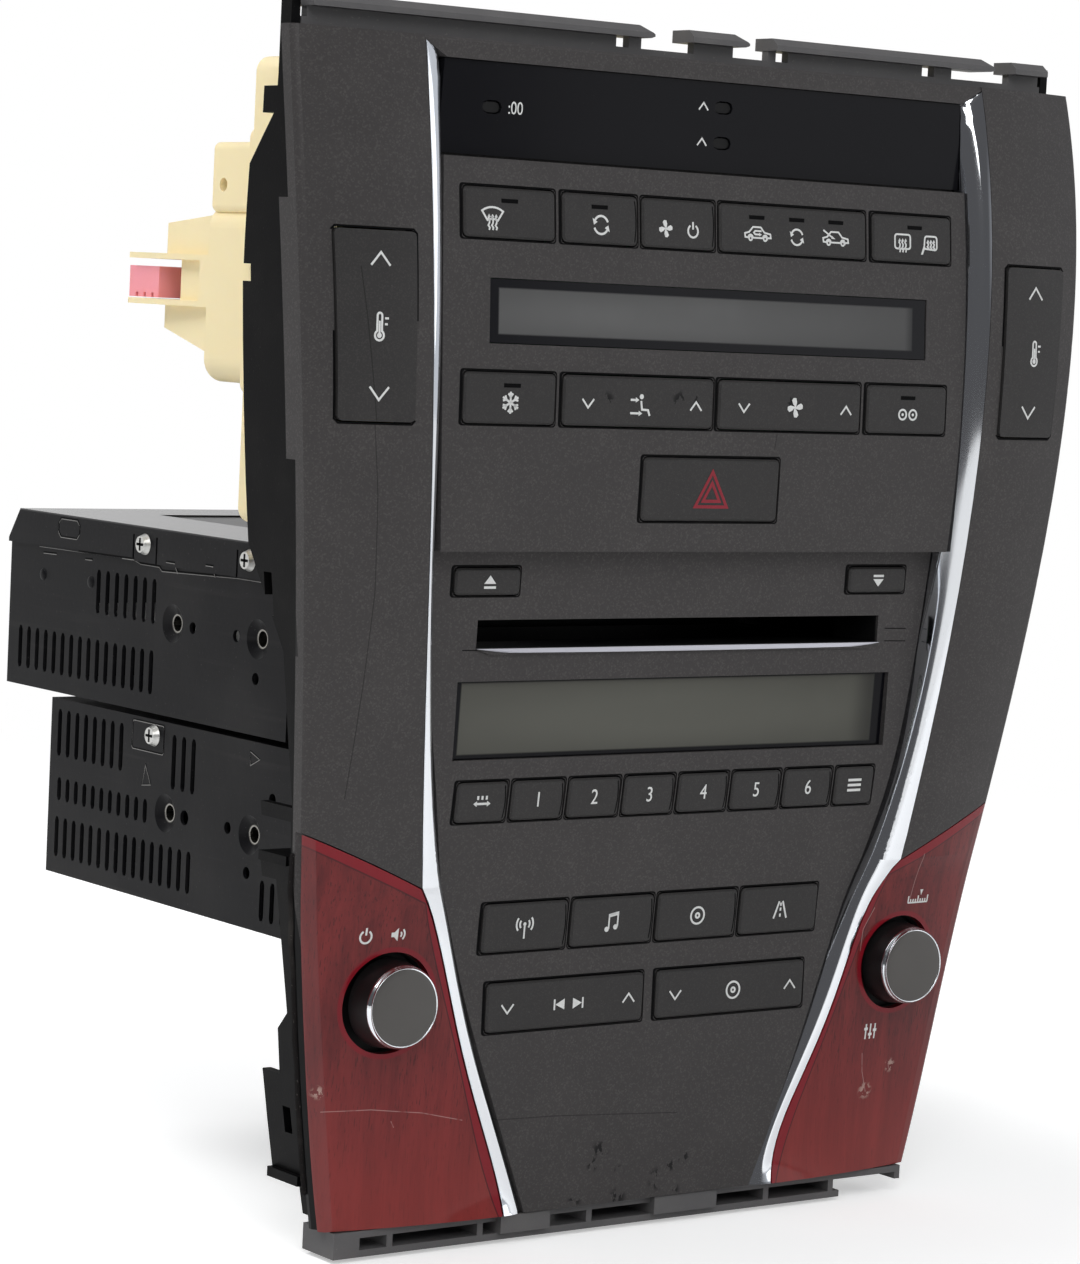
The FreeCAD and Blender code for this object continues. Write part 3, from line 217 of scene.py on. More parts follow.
class Tree:
    """The nodes of one material, or of the surroundings."""

    def __init__(self, owner: Union[bpy.types.Material, bpy.types.World], coordinates: str = "Object") -> None:
        """Starts an empty tree.

        Args:
            owner: The material or the world.
            coordinates: Coordinates that x, y and z are taken from.
        """
        self.owner = owner
        self.owner.use_nodes = True
        self.group = self.owner.node_tree
        self.group.nodes.clear()
        source = self.node("ShaderNodeTexCoord", {}, {})
        self.place = Wire(self, source.outputs[coordinates])
        parts = self.node("ShaderNodeSeparateXYZ", {}, {0: self.place})
        self.x, self.y, self.z = (Wire(self, parts.outputs[i]) for i in range(3))

    def node(self, kind: str, settings: Dict[str, object], inputs: Dict[Union[int, str], object]) -> bpy.types.Node:
        """Adds a node, as add_node does."""
        return add_node(self.group, kind, settings, inputs)

    def stretched(self, across: float, deep: float, tall: float) -> Wire:
        """Object coordinates scaled differently along the three axes."""
        made = self.node("ShaderNodeMapping", {}, {0: self.place, 3: (across, deep, tall)})
        return Wire(self, made.outputs[0])

    def noise(self, scale: float, detail: float = 2.0, rough: float = 0.5, at: Optional[Wire] = None) -> Wire:
        """Noise between 0 and 1, scale in cycles a metre.

        Args:
            scale: Cycles a metre.
            detail: Finer layers.
            rough: Strength of the finer layers.
            at: Coordinates, where they aren't the object's own.

        Returns:
            The noise.
        """
        made = self.node("ShaderNodeTexNoise", {}, {"Vector": at or self.place, "Scale": scale, "Detail": detail,
                                                    "Roughness": rough})
        return Wire(self, made.outputs[0])

    def cells(self, scale: float, at: Optional[Wire] = None) -> Wire:
        """Random grey for each cell of a broken-up grid.

        Args:
            scale: Cells a metre.
            at: Coordinates, where they aren't the object's own.

        Returns:
            The grey.
        """
        made = self.node("ShaderNodeTexVoronoi", {}, {"Vector": at or self.place, "Scale": scale})
        split = self.node("ShaderNodeSeparateColor", {}, {0: Wire(self, made.outputs["Color"])})
        return Wire(self, split.outputs[0])

    def blend(self, share: Value, first: object, second: object) -> Wire:
        """Mix of two colours."""
        made = self.node("ShaderNodeMix", {"data_type": "RGBA"}, {0: share, 6: first, 7: second})
        return Wire(self, made.outputs[2])

    def relief(self, height: Wire, depth: float, strength: float = 1.0) -> Wire:
        """Normal bent by a height, depth in metres."""
        made = self.node("ShaderNodeBump", {}, {"Strength": strength, "Distance": depth, "Height": height})
        return Wire(self, made.outputs[0])

    def surface(self, **inputs: object) -> bpy.types.Material:
        """Ends the tree in one surface shader.

        Args:
            **inputs: Sockets of the shader, with underscores for spaces.

        Returns:
            The finished material.
        """
        values = {key.replace("_", " "): value for key, value in inputs.items()}
        shader = self.node("ShaderNodeBsdfPrincipled", {}, values)
        self.node("ShaderNodeOutputMaterial", {}, {0: shader.outputs[0]})
        return self.owner


def segment_mask(tree: Tree, start: Point, end: Point, width: float) -> Wire:
    """Mask of a thin scratch between two points of the panel's front.

    Args:
        tree: The material's tree.
        start: X and Z of one end.
        end: X and Z of the other end.
        width: Width of the scratch.

    Returns:
        1 on the scratch and 0 away from it.
    """
    dx, dz = end[0] - start[0], end[1] - start[1]
    length = math.hypot(dx, dz)
    ux, uz = dx / length, dz / length
    along = (tree.x - start[0]) * ux + (tree.z - start[1]) * uz
    across = ((tree.x - start[0]) * uz - (tree.z - start[1]) * ux).size()
    inside = (along > 0.0) * (along < length)
    return inside * (1.0 - across.rise(width * 0.3, width))


def path_mask(tree: Tree, points: Sequence[Point], width: float) -> Wire:
    """Mask of a thin scratch that runs through points, in metres.

    Args:
        tree: The material's tree.
        points: X and Z of the scratch's corners.
        width: Width of the scratch.

    Returns:
        1 on the scratch and 0 away from it.
    """
    mask = segment_mask(tree, points[0], points[1], width)
    for start, end in zip(points[1:], points[2:]):
        mask = mask.most(segment_mask(tree, start, end, width))
    return mask


def blot_mask(tree: Tree, centre: Point, radius: float) -> Wire:
    """Mask that is 1 at a place on the panel's front and falls to 0 at a radius."""
    dx, dz = tree.x - centre[0], tree.z - centre[1]
    return 1.0 - (dx * dx + dz * dz).root().rise(radius * 0.35, radius)


@dataclass(frozen=True)
class FasciaPaint:
    """Dark warm grey metallic paint over a plastic moulding, bare black plastic behind it."""

    name: str = "fascia_paint"
    colour: Colour = srgb(60, 58, 58)
    flake: Colour = srgb(92, 89, 88)
    bare: Colour = srgb(15, 15, 16)
    flake_scale: float = 2600.0
    painted_to: float = 0.0075
    tunnel: Tuple[float, float] = (0.0275, 0.0372)
    tunnel_front: float = -0.0009
    dust: Colour = srgb(120, 118, 116)
    scratched: Colour = srgb(20, 19, 19)
    scratch_width: float = 0.00022
    chipped: Colour = srgb(14, 13, 14)
    scratches: Tuple[Tuple[Point, ...], ...] = ()
    chips: Tuple[Tuple[Point, float], ...] = ()

    def build(self) -> bpy.types.Material:
        """Makes the material.

        Returns:
            The finished material.
        """
        tree = Tree(bpy.data.materials.new(self.name))
        flakes = tree.cells(self.flake_scale).rise(0.6, 1.0)
        cloud = tree.noise(60.0, 3.0)
        worn = tree.noise(900.0, 2.0)
        paint = tree.blend((flakes * 0.3 + (cloud - 0.5) * 0.3).clamped(), self.colour, self.flake)
        dust = tree.noise(1700.0, 1.0).rise(0.79, 0.83)
        paint = tree.blend(dust * 0.35, paint, self.dust)
        for points in self.scratches:
            mark = path_mask(tree, points, self.scratch_width)
            paint = tree.blend(mark * 0.6, paint, self.scratched)
        torn = tree.noise(420.0, 3.0, 0.6, tree.stretched(1.0, 1.0, 0.7)).rise(0.52, 0.56)
        for centre, radius in self.chips:
            paint = tree.blend(blot_mask(tree, centre, radius) * torn * 0.95, paint, self.chipped)
        inside = (tree.z > self.tunnel[0]) * (tree.z < self.tunnel[1]) * (tree.y > self.tunnel_front)
        behind = ((tree.y > self.painted_to) + inside).clamped()
        colour = tree.blend(behind, paint, self.bare)
        grain = tree.noise(5200.0, 2.0)
        return tree.surface(Base_Color=colour, Metallic=(1.0 - behind) * 0.15, Roughness=0.46 + worn * 0.08,
                            Specular_IOR_Level=0.18, Normal=tree.relief(grain, 0.00003, 0.35))


@dataclass(frozen=True)
class LacqueredWood:
    """Red-brown wood with upright grain under clear lacquer, with painted light: deeper red painted shade over the
    bevel round it, a painted shade line where the bevel starts, a painted highlight along the outer edge, and lighter
    and redder towards the bottom.
    """

    name: str = "wood"
    light: Colour = srgb(114, 36, 36)
    dark: Colour = srgb(80, 20, 23)
    pore: Colour = srgb(36, 10, 13)
    # Painted light: lighter and redder towards the bottom.
    low: Colour = srgb(146, 50, 45)
    # Painted shade over the bevelled rim, a painted shade line where it starts, and a painted highlight along the outer
    # edge.
    bevel: Colour = srgb(122, 8, 26)
    seam: Colour = srgb(38, 8, 14)
    edge: Colour = srgb(118, 74, 74)
    scuffed: Colour = srgb(190, 160, 156)
    scuff_width: float = 0.00016
    chipped: Colour = srgb(176, 150, 140)
    outer_line: Tuple[float, float] = (0.1157, 0.159)
    inner_line: Tuple[float, float] = (0.0878, 0.367)
    top_line: Tuple[float, float] = (-0.0655, 0.442)
    bevel_width: float = 0.0032
    well: Tuple[float, float, float] = (0.084, -0.0599, 0.0146)
    scuffs: Tuple[Tuple[Point, ...], ...] = ()
    chips: Tuple[Tuple[Point, float], ...] = ()

    def bevel_masks(self, tree: Tree) -> Tuple[Wire, Wire, Wire]:
        """Masks of the bevelled rim's painted shade and painted highlight.

        Args:
            tree: The material's tree.

        Returns:
            The mask of the painted highlight along the outer edge, that of the painted shade along the top, the inner
            edge and the knob's well, and that of the painted shade line where the bevel starts.
        """
        across = tree.x.size()
        outer = across - (tree.z * self.outer_line[1] + self.outer_line[0] - self.bevel_width)
        inner = tree.z * self.inner_line[1] + self.inner_line[0] + self.bevel_width * 0.5 - across
        top = tree.z - (across * self.top_line[1] + self.top_line[0] - self.bevel_width)
        dx, dz = across - self.well[0], tree.z - self.well[1]
        well = self.well[2] - (dx * dx + dz * dz).root()
        rim = inner.most(top)
        line = 1.0 - rim.size().rise(0.00012, 0.0003)
        other = rim.rise(-0.0001, 0.0001).most(well.rise(0.0, 0.0006))
        return outer.rise(-0.0002, 0.0002), other, line

    def build(self) -> bpy.types.Material:
        """Makes the material.

        Returns:
            The finished material.
        """
        tree = Tree(bpy.data.materials.new(self.name))
        waves = tree.noise(1.0, 4.0, 0.6, tree.stretched(240.0, 240.0, 14.0))
        fine = tree.noise(1.0, 5.0, 0.7, tree.stretched(1500.0, 1500.0, 60.0))
        pores = tree.noise(1.0, 2.0, 0.5, tree.stretched(2400.0, 2400.0, 170.0)).rise(0.6, 0.68)
        cloud = tree.noise(1.0, 2.0, 0.5, tree.stretched(30.0, 30.0, 18.0))
        grain = (waves * 0.45 + fine * 0.25 + cloud * 0.3).rise(0.36, 0.66)
        colour = tree.blend(grain, self.dark, self.light)
        colour = tree.blend(pores * 0.6, colour, self.pore)
        # Painted light: lighter and redder towards the bottom.
        colour = tree.blend((0.0 - tree.z).rise(0.07, 0.125) * 0.5, colour, self.low)
        outer, other, line = self.bevel_masks(tree)
        # Painted shade over the bevel, a painted shade line where it starts, and a painted highlight along the outer
        # edge.
        colour = tree.blend(other * 0.85, colour, self.bevel)
        colour = tree.blend(line * 0.7, colour, self.seam)
        colour = tree.blend(outer * 0.3, colour, self.edge)
        for points in self.scuffs:
            mark = path_mask(tree, points, self.scuff_width) * tree.noise(260.0, 2.0).rise(0.3, 0.5)
            colour = tree.blend(mark * 0.42, colour, self.scuffed)
        flaked = tree.noise(700.0, 3.0, 0.6).rise(0.5, 0.54)
        for centre, radius in self.chips:
            colour = tree.blend(blot_mask(tree, centre, radius) * flaked * 0.7, colour, self.chipped)
        return tree.surface(Base_Color=colour, Roughness=0.34 + fine * 0.08, Specular_IOR_Level=0.1, Coat_Weight=0.3,
                            Coat_Roughness=0.06, Normal=tree.relief(waves, 0.00006, 0.2))


@dataclass(frozen=True)
class Plated:
    """Bright plating or bare metal with faint handling marks."""

    name: str
    colour: Colour
    rough: float
    smear: float = 0.05
    metal: float = 1.0
    wave: float = 0.00002

    def build(self) -> bpy.types.Material:
        """Makes the material.

        Returns:
            The finished material.
        """
        tree = Tree(bpy.data.materials.new(self.name))
        smears = tree.noise(90.0, 4.0, 0.6)
        specks = tree.noise(2400.0, 1.0).rise(0.72, 0.78)
        colour = tree.blend(specks * 0.3, self.colour, tuple(v * 0.45 for v in self.colour))
        return tree.surface(Base_Color=colour, Metallic=self.metal, Roughness=self.rough + smears * self.smear,
                            Normal=tree.relief(tree.noise(700.0, 2.0), self.wave, 0.15))


@dataclass(frozen=True)
class Moulded:
    """Moulded plastic with a fine spark-eroded texture and faint dust."""

    name: str
    colour: Colour
    rough: float = 0.5
    texture: float = 0.00004
    texture_scale: float = 1800.0
    dust: float = 0.06
    coat: float = 0.0
    dust_colour: Colour = srgb(150, 146, 140)
    through: float = 0.0
    shine: float = 0.5
    metal: float = 0.0

    def build(self) -> bpy.types.Material:
        """Makes the material.

        Returns:
            The finished material.
        """
        tree = Tree(bpy.data.materials.new(self.name))
        patches = tree.noise(45.0, 4.0, 0.6).rise(0.45, 0.8)
        specks = tree.noise(1500.0, 2.0).rise(0.66, 0.74)
        colour = tree.blend((patches * 0.5 + specks) * self.dust, self.colour, self.dust_colour)
        inputs = {"Base_Color": colour, "Roughness": self.rough + tree.noise(120.0, 3.0) * 0.1,
                  "Coat_Weight": self.coat, "Specular_IOR_Level": self.shine, "Metallic": self.metal,
                  "Normal": tree.relief(tree.noise(self.texture_scale, 2.0), self.texture, 0.5)}
        if self.through:
            inputs["Subsurface_Weight"] = self.through
            inputs["Subsurface_Radius"] = (0.004, 0.003, 0.0015)
        return tree.surface(**inputs)


@dataclass(frozen=True)
class BlackSheet:
    """Semi-gloss black sheet steel with bright formed holes, worn edges and dust."""

    name: str
    hole_depths: Tuple[float, float] = (0.0611, 0.1032)
    hole_height: float = 0.0252
    shine_radius: float = 0.0027
    colour: Colour = srgb(19, 19, 21)
    worn: Colour = srgb(96, 94, 92)
    bare: Colour = srgb(150, 148, 142)
    cover_top: Tuple[float, float] = (0.0494, 0.0499)
    cover_gloss: float = 0.75

    def build(self) -> bpy.types.Material:
        """Makes the material.

        Returns:
            The finished material.
        """
        tree = Tree(bpy.data.materials.new(self.name))
        near: Value = 1.0
        for depth in self.hole_depths:
            dy, dz = tree.y - depth, tree.z - self.hole_height
            near = (dy * dy + dz * dz).root().least(near)
        bright = 1.0 - near.rise(self.shine_radius * 0.86, self.shine_radius)
        streaks = tree.noise(1.0, 3.0, 0.6, tree.stretched(60.0, 12.0, 300.0))
        specks = tree.noise(1300.0, 2.0).rise(0.68, 0.75)
        haze = tree.noise(26.0, 3.0, 0.5).rise(0.4, 0.75)
        paint = tree.blend(specks * 0.25 + streaks.rise(0.55, 0.8) * 0.08 + haze * 0.07, self.colour, self.worn)
        colour = tree.blend(bright, paint, self.bare)
        return tree.surface(Base_Color=colour, Metallic=bright, Roughness=0.3 + streaks * 0.14 - bright * 0.1,
                            Coat_Weight=tree.z.rise(*self.cover_top) * self.cover_gloss,
                            Specular_IOR_Level=0.08, Normal=tree.relief(tree.noise(650.0, 3.0), 0.00006, 0.4))


@dataclass(frozen=True)
class Glazing:
    """Dark window or display pane: a printed frame round a pale field under gloss, with painted shade on the field,
    darker from left to right, towards the top and towards the edges, and a painted shadow along its right side where
    one is given.
    """

    name: str
    left: Colour
    right: Colour
    frame_colour: Colour
    centre: Point = (0.0, 0.0)
    half: Point = (10.0, 10.0)
    shadow: float = 0.0
    rough: float = 0.12
    soften: float = 0.0003
    shine: float = 0.1
    dust: Colour = srgb(120, 120, 120)

    def build(self) -> bpy.types.Material:
        """Makes the material.

        Returns:
            The finished material.
        """
        tree = Tree(bpy.data.materials.new(self.name))
        dx, dz = tree.x - self.centre[0], tree.z - self.centre[1]
        across = (dx.size() - self.half[0]).most(dz.size() - self.half[1])
        frame = across.rise(-self.soften, self.soften)
        # Painted shade across the field, from the left colour to the darker right one.
        shaded_field = tree.blend((dx / (2.0 * self.half[0]) + 0.5).clamped(), self.left, self.right)
        cloud = tree.noise(30.0, 3.0)
        # Painted shade, darker towards the top.
        shaded_field = tree.blend((dz / (2.0 * self.half[1]) + 0.5).clamped() * 0.35, shaded_field, tuple(v * 0.72 for v in self.left))
        shaded_field = tree.blend(cloud.rise(0.45, 0.8) * 0.2, shaded_field, tuple(v * 1.3 for v in self.left))
        # Painted shade, darker towards the field's edges.
        spread = ((dx / self.half[0]) * (dx / self.half[0]) + (dz / self.half[1]) * (dz / self.half[1])).root()
        shaded_field = tree.blend(spread.rise(0.35, 1.35) * 0.5, shaded_field, tuple(v * 0.5 for v in self.left))
        if self.shadow:
            shaded_field = tree.blend(dx.rise(self.half[0] - self.shadow, self.half[0]) * 0.55, shaded_field, self.frame_colour)
        colour = tree.blend(frame, shaded_field, self.frame_colour)
        dust = tree.noise(2100.0, 1.0).rise(0.78, 0.81) * 0.12
        colour = tree.blend(dust, colour, self.dust)
        return tree.surface(Base_Color=colour, Roughness=self.rough + tree.noise(60.0, 3.0) * 0.05,
                            Specular_IOR_Level=self.shine, Normal=tree.relief(tree.noise(12.0, 1.0), 0.00005, 0.1))


@dataclass(frozen=True)
class Ink:
    """Printed or laser-etched sign, a little uneven in strength; the same ink also draws painted shade lines and
    painted highlights.
    """

    name: str
    colour: Colour
    rough: float = 0.5
    shine: float = 0.3

    def build(self) -> bpy.types.Material:
        """Makes the material.

        Returns:
            The finished material.
        """
        tree = Tree(bpy.data.materials.new(self.name))
        wear = tree.noise(2200.0, 3.0).rise(0.3, 0.7)
        colour = tree.blend(wear * 0.22, self.colour, tuple(v * 0.55 for v in self.colour))
        return tree.surface(Base_Color=colour, Roughness=self.rough + wear * 0.05, Specular_IOR_Level=self.shine)


# Flat drawing


def arc_points(centre: Point, radius: float, start: float, end: float, count: int) -> Loop:
    """Points on an arc, angles in degrees."""
    return [(centre[0] + radius * math.cos(math.radians(start + (end - start) * i / count)),
             centre[1] + radius * math.sin(math.radians(start + (end - start) * i / count))) for i in range(count + 1)]


def stroke(points: Sequence[Point], width: float, closed: bool = False) -> List[Loop]:
    """Quads of one pen line through points, with mitred joints.

    Args:
        points: The line's points.
        width: The pen's width.
        closed: Whether the line returns to its start.

    Returns:
        One four-cornered loop for each stretch.
    """
    count = len(points)
    sides: List[Tuple[Point, Point]] = []
    for i, (x, z) in enumerate(points):
        before = points[i - 1] if (i or closed) else None
        after = points[(i + 1) % count] if (i < count - 1 or closed) else None
        into = Vector((x - before[0], z - before[1])).normalized() if before else None
        out = Vector((after[0] - x, after[1] - z)).normalized() if after else None
        tangent = ((into or out) + (out or into)).normalized()
        normal = Vector((-tangent.y, tangent.x))
        share = 1.0
        if into is not None and out is not None:
            share = 1.0 / max(0.4, math.cos(into.angle(out, 0.0) / 2))
        reach = normal * (width / 2 * share)
        sides.append(((x + reach.x, z + reach.y), (x - reach.x, z - reach.y)))
    quads = []
    for i in range(count if closed else count - 1):
        (a, b), (c, d) = sides[i], sides[(i + 1) % count]
        quads.append([a, b, d, c])
    return quads


def stretches(points: Sequence[Point], longest: float, closed: bool) -> Loop:
    """Cuts a line into short stretches, so that a print follows the surface.

    Args:
        points: The line's points.
        longest: Longest stretch.
        closed: Whether the line returns to its start.

    Returns:
        The line with the points between.
    """
    ends = list(points[1:]) + ([points[0]] if closed else [])
    fine: Loop = []
    for start, end in zip(points, ends):
        count = max(1, math.ceil(math.hypot(end[0] - start[0], end[1] - start[1]) / longest))
        fine += [(start[0] + (end[0] - start[0]) * k / count, start[1] + (end[1] - start[1]) * k / count)
                 for k in range(count)]
    return fine if closed else fine + [points[-1]]


def disc(centre: Point, radius: float, count: int = 16) -> Loop:
    """Filled circle."""
    return arc_points(centre, radius, 0.0, 360.0, count)[:-1]


def moved(loops: Iterable[Loop], dx: float, dz: float, scale: float = 1.0, turn: float = 0.0) -> List[Loop]:
    """Loops turned, scaled and then shifted."""
    c, s = math.cos(math.radians(turn)) * scale, math.sin(math.radians(turn)) * scale
    return [[(x * c - z * s + dx, x * s + z * c + dz) for x, z in loop] for loop in loops]


class Sign(Enum):
    """Standard pictograms and numbers, drawn about 1 unit high round their own centre."""

    CHEVRON_UP = "chevron_up"
    CHEVRON_DOWN = "chevron_down"
    FAN = "fan"
    SCREEN = "screen"
    REAR_SCREEN = "rear_screen"
    MIRROR = "mirror"
    INSIDE_AIR = "inside_air"
    OUTSIDE_AIR = "outside_air"
    SNOW = "snow"
    POWER = "power"
    SEAT = "seat"
    PAIR = "pair"
    THERMOMETER = "thermometer"
    EJECT = "eject"
    LOAD = "load"
    HAZARD = "hazard"
    LINES = "lines"
    SWEEP = "sweep"
    MAST = "mast"
    NOTE = "note"
    DISC = "disc"
    ROAD = "road"
    SKIP = "skip"
    SPEAKER = "speaker"
    DIAL = "dial"
    SLIDERS = "sliders"
    CYCLE = "cycle"

    def draw(self, pen: float) -> List[Loop]:
        """Outline of the pictogram.

        Args:
            pen: The line's width as a share of the sign's height.

        Returns:
            Closed loops to fill.
        """
        return getattr(Drawing(pen), self.value)()


@dataclass(frozen=True)
class Drawing:
    """Draws each pictogram with one pen."""

    pen: float

    def line(self, *points: Point) -> List[Loop]:
        """Open pen line."""
        return stroke(points, self.pen)

    def ring(self, centre: Point, radius: float, count: int = 20) -> List[Loop]:
        """Circle drawn with the pen."""
        return stroke(arc_points(centre, radius, 0.0, 360.0, count)[:-1], self.pen, True)

    def chevron_up(self) -> List[Loop]:
        """Upward chevron."""
        return self.line((-0.5, -0.3), (0.0, 0.3), (0.5, -0.3))

    def chevron_down(self) -> List[Loop]:
        """Downward chevron."""
        return self.line((-0.5, 0.3), (0.0, -0.3), (0.5, 0.3))

    def fan(self) -> List[Loop]:
        """Four curved blades round a hub.

        Returns:
            Loops to fill.
        """
        blade = [(0.06, 0.02), (0.16, 0.26), (0.14, 0.46), (-0.02, 0.5), (-0.14, 0.4), (-0.1, 0.2), (-0.02, 0.08)]
        loops = [disc((0.0, 0.0), 0.07, 10)]
        for i in range(4):
            loops += moved([blade], 0.0, 0.0, 1.0, 90.0 * i + 12.0)
        return loops

    def heat(self, centre: Point, tall: float) -> List[Loop]:
        """Three wavy arrows.

        Args:
            centre: Middle of the arrows.
            tall: Length of the waves.

        Returns:
            Loops to fill.
        """
        loops: List[Loop] = []
        for dx in (-0.2, 0.0, 0.2):
            x = centre[0] + dx
            wave = [(x + 0.05 * math.sin(t * 2.2), centre[1] - tall / 2 + tall * t / 6) for t in range(7)]
            loops += stroke(wave, self.pen * 0.9)
            top = centre[1] + tall / 2
            loops.append([(x - 0.09, top - 0.04), (x + 0.09, top - 0.04), (x, top + 0.1)])
        return loops

    def screen(self) -> List[Loop]:
        """Windscreen with heat arrows.

        Returns:
            Loops to fill.
        """
        top = arc_points((0.0, -0.55), 1.05, 124.0, 56.0, 8)
        bottom = arc_points((0.0, -0.75), 0.72, 66.0, 114.0, 6)
        return stroke(top + bottom, self.pen, True) + self.heat((0.0, -0.22), 0.62)

    def rear_screen(self) -> List[Loop]:
        """Rear window with heat arrows.

        Returns:
            Loops to fill.
        """
        frame = arc_points((0.38, 0.32), 0.14, 0.0, 90.0, 3) + arc_points((-0.38, 0.32), 0.14, 90.0, 180.0, 3)
        frame += arc_points((-0.38, -0.12), 0.14, 180.0, 270.0, 3) + arc_points((0.38, -0.12), 0.14, 270.0, 360.0, 3)
        return stroke(frame, self.pen, True) + self.heat((0.0, -0.14), 0.6)

    def mirror(self) -> List[Loop]:
        """Door mirror with heat arrows.

        Returns:
            Loops to fill.
        """
        frame = arc_points((0.34, 0.3), 0.14, 0.0, 90.0, 3) + arc_points((-0.2, 0.3), 0.14, 90.0, 180.0, 3)
        frame += arc_points((-0.28, -0.1), 0.1, 180.0, 270.0, 3) + arc_points((0.34, -0.1), 0.14, 270.0, 360.0, 3)
        arm = [(-0.42, -0.05), (-0.6, -0.5), (-0.48, -0.5), (-0.34, -0.2)]
        return stroke(frame, self.pen, True) + [arm] + self.heat((0.08, -0.02), 0.4)

    def car(self) -> List[Loop]:
        """Side view of a car.

        Returns:
            Loops to fill.
        """
        body = [(-0.95, -0.18), (-0.98, 0.04), (-0.66, 0.12), (-0.36, 0.42), (0.22, 0.42), (0.5, 0.12), (0.95, 0.04),
                (0.98, -0.18), (0.72, -0.18)]
        body += arc_points((0.55, -0.2), 0.17, 0.0, 180.0, 6)
        body += arc_points((-0.55, -0.2), 0.17, 0.0, 180.0, 6)
        return stroke(body, self.pen, True) + self.ring((0.55, -0.24), 0.12, 12) + self.ring((-0.55, -0.24), 0.12, 12)

    def inside_air(self) -> List[Loop]:
        """Car with air that turns round inside it."""
        turn = stroke([(0.28, 0.2), (-0.2, 0.2), (-0.3, 0.1), (-0.2, 0.0), (0.1, 0.0)], self.pen)
        return self.car() + turn + [[(0.1, 0.1), (0.3, 0.0), (0.1, -0.1)]]

    def outside_air(self) -> List[Loop]:
        """Car with air that comes in."""
        return self.car() + self.line((-0.95, 0.5), (-0.2, 0.06)) + [[(-0.26, 0.18), (-0.02, 0.0), (-0.34, 0.02)]]

    def snow(self) -> List[Loop]:
        """Snow crystal.

        Returns:
            Loops to fill.
        """
        loops: List[Loop] = []
        for i in range(6):
            arm = self.line((0.0, 0.0), (0.0, 0.5)) + self.line((-0.13, 0.42), (0.0, 0.27), (0.13, 0.42))
            loops += moved(arm, 0.0, 0.0, 1.0, 60.0 * i)
        return loops

    def power(self) -> List[Loop]:
        """Standby sign."""
        return stroke(arc_points((0.0, -0.05), 0.38, 122.0, 418.0, 18), self.pen) + self.line((0.0, 0.05), (0.0, 0.5))

    def seat(self) -> List[Loop]:
        """Seated figure with two air arrows.

        Returns:
            Loops to fill.
        """
        body = self.line((0.0, 0.18), (0.06, -0.22), (0.42, -0.24), (0.52, -0.5))
        flows = self.line((-0.62, 0.22), (-0.3, 0.22)) + self.line((-0.62, -0.4), (-0.1, -0.4))
        heads = [[(-0.32, 0.34), (-0.12, 0.22), (-0.32, 0.1)], [(-0.12, -0.28), (0.08, -0.4), (-0.12, -0.52)]]
        return [disc((0.02, 0.38), 0.12, 12)] + body + flows + heads

    def pair(self) -> List[Loop]:
        """Two places side by side.

        Returns:
            Loops to fill.
        """
        loops: List[Loop] = []
        for x in (-0.36, 0.36):
            loops += self.ring((x, 0.0), 0.26)
            loops.append(disc((x, 0.0), 0.08, 10))
        return loops

    def thermometer(self) -> List[Loop]:
        """Thermometer.

        Returns:
            Loops to fill.
        """
        tube = arc_points((0.0, 0.4), 0.1, 0.0, 180.0, 6) + arc_points((0.0, -0.34), 0.19, 122.0, 418.0, 14)
        marks = self.line((0.22, 0.3), (0.38, 0.3)) + self.line((0.22, 0.08), (0.34, 0.08))
        return stroke(tube, self.pen, True) + [disc((0.0, -0.34), 0.1, 12)] + self.line((0.0, -0.3), (0.0, 0.2)) + marks

    def eject(self) -> List[Loop]:
        """Upward triangle over a bar."""
        return [[(-0.5, -0.08), (0.5, -0.08), (0.0, 0.5)], [(-0.5, -0.42), (0.5, -0.42), (0.5, -0.25), (-0.5, -0.25)]]

    def load(self) -> List[Loop]:
        """Downward triangle under a bar."""
        return [[(-0.5, 0.1), (0.0, -0.45), (0.5, 0.1)], [(-0.5, 0.25), (0.5, 0.25), (0.5, 0.42), (-0.5, 0.42)]]

    def hazard(self) -> List[Loop]:
        """Double triangle.

        Returns:
            Loops to fill.
        """
        loops: List[Loop] = []
        for size in (1.0, 0.52):
            loops += stroke(arc_points((0.0, -0.12), 0.62 * size, 90.0, 450.0, 3)[:-1], self.pen, True)
        return loops

    def lines(self) -> List[Loop]:
        """Three lines of a list."""
        return [loop for z in (0.3, 0.0, -0.3) for loop in self.line((-0.5, z), (0.5, z))]

    def sweep(self) -> List[Loop]:
        """Double arrow across marks.

        Returns:
            Loops to fill.
        """
        heads = [[(-0.6, 0.0), (-0.36, 0.16), (-0.36, -0.16)], [(0.6, 0.0), (0.36, 0.16), (0.36, -0.16)]]
        marks = [loop for x in (-0.3, 0.0, 0.3) for loop in self.line((x, 0.24), (x, 0.46))]
        return self.line((-0.4, 0.0), (0.4, 0.0)) + heads + marks

    def mast(self) -> List[Loop]:
        """Aerial mast with waves.

        Returns:
            Loops to fill.
        """
        loops = self.line((0.0, -0.5), (0.0, 0.14)) + [disc((0.0, 0.2), 0.09, 10)]
        for radius in (0.28, 0.48):
            loops += stroke(arc_points((0.0, 0.2), radius, -38.0, 38.0, 8), self.pen)
            loops += stroke(arc_points((0.0, 0.2), radius, 142.0, 218.0, 8), self.pen)
        return loops

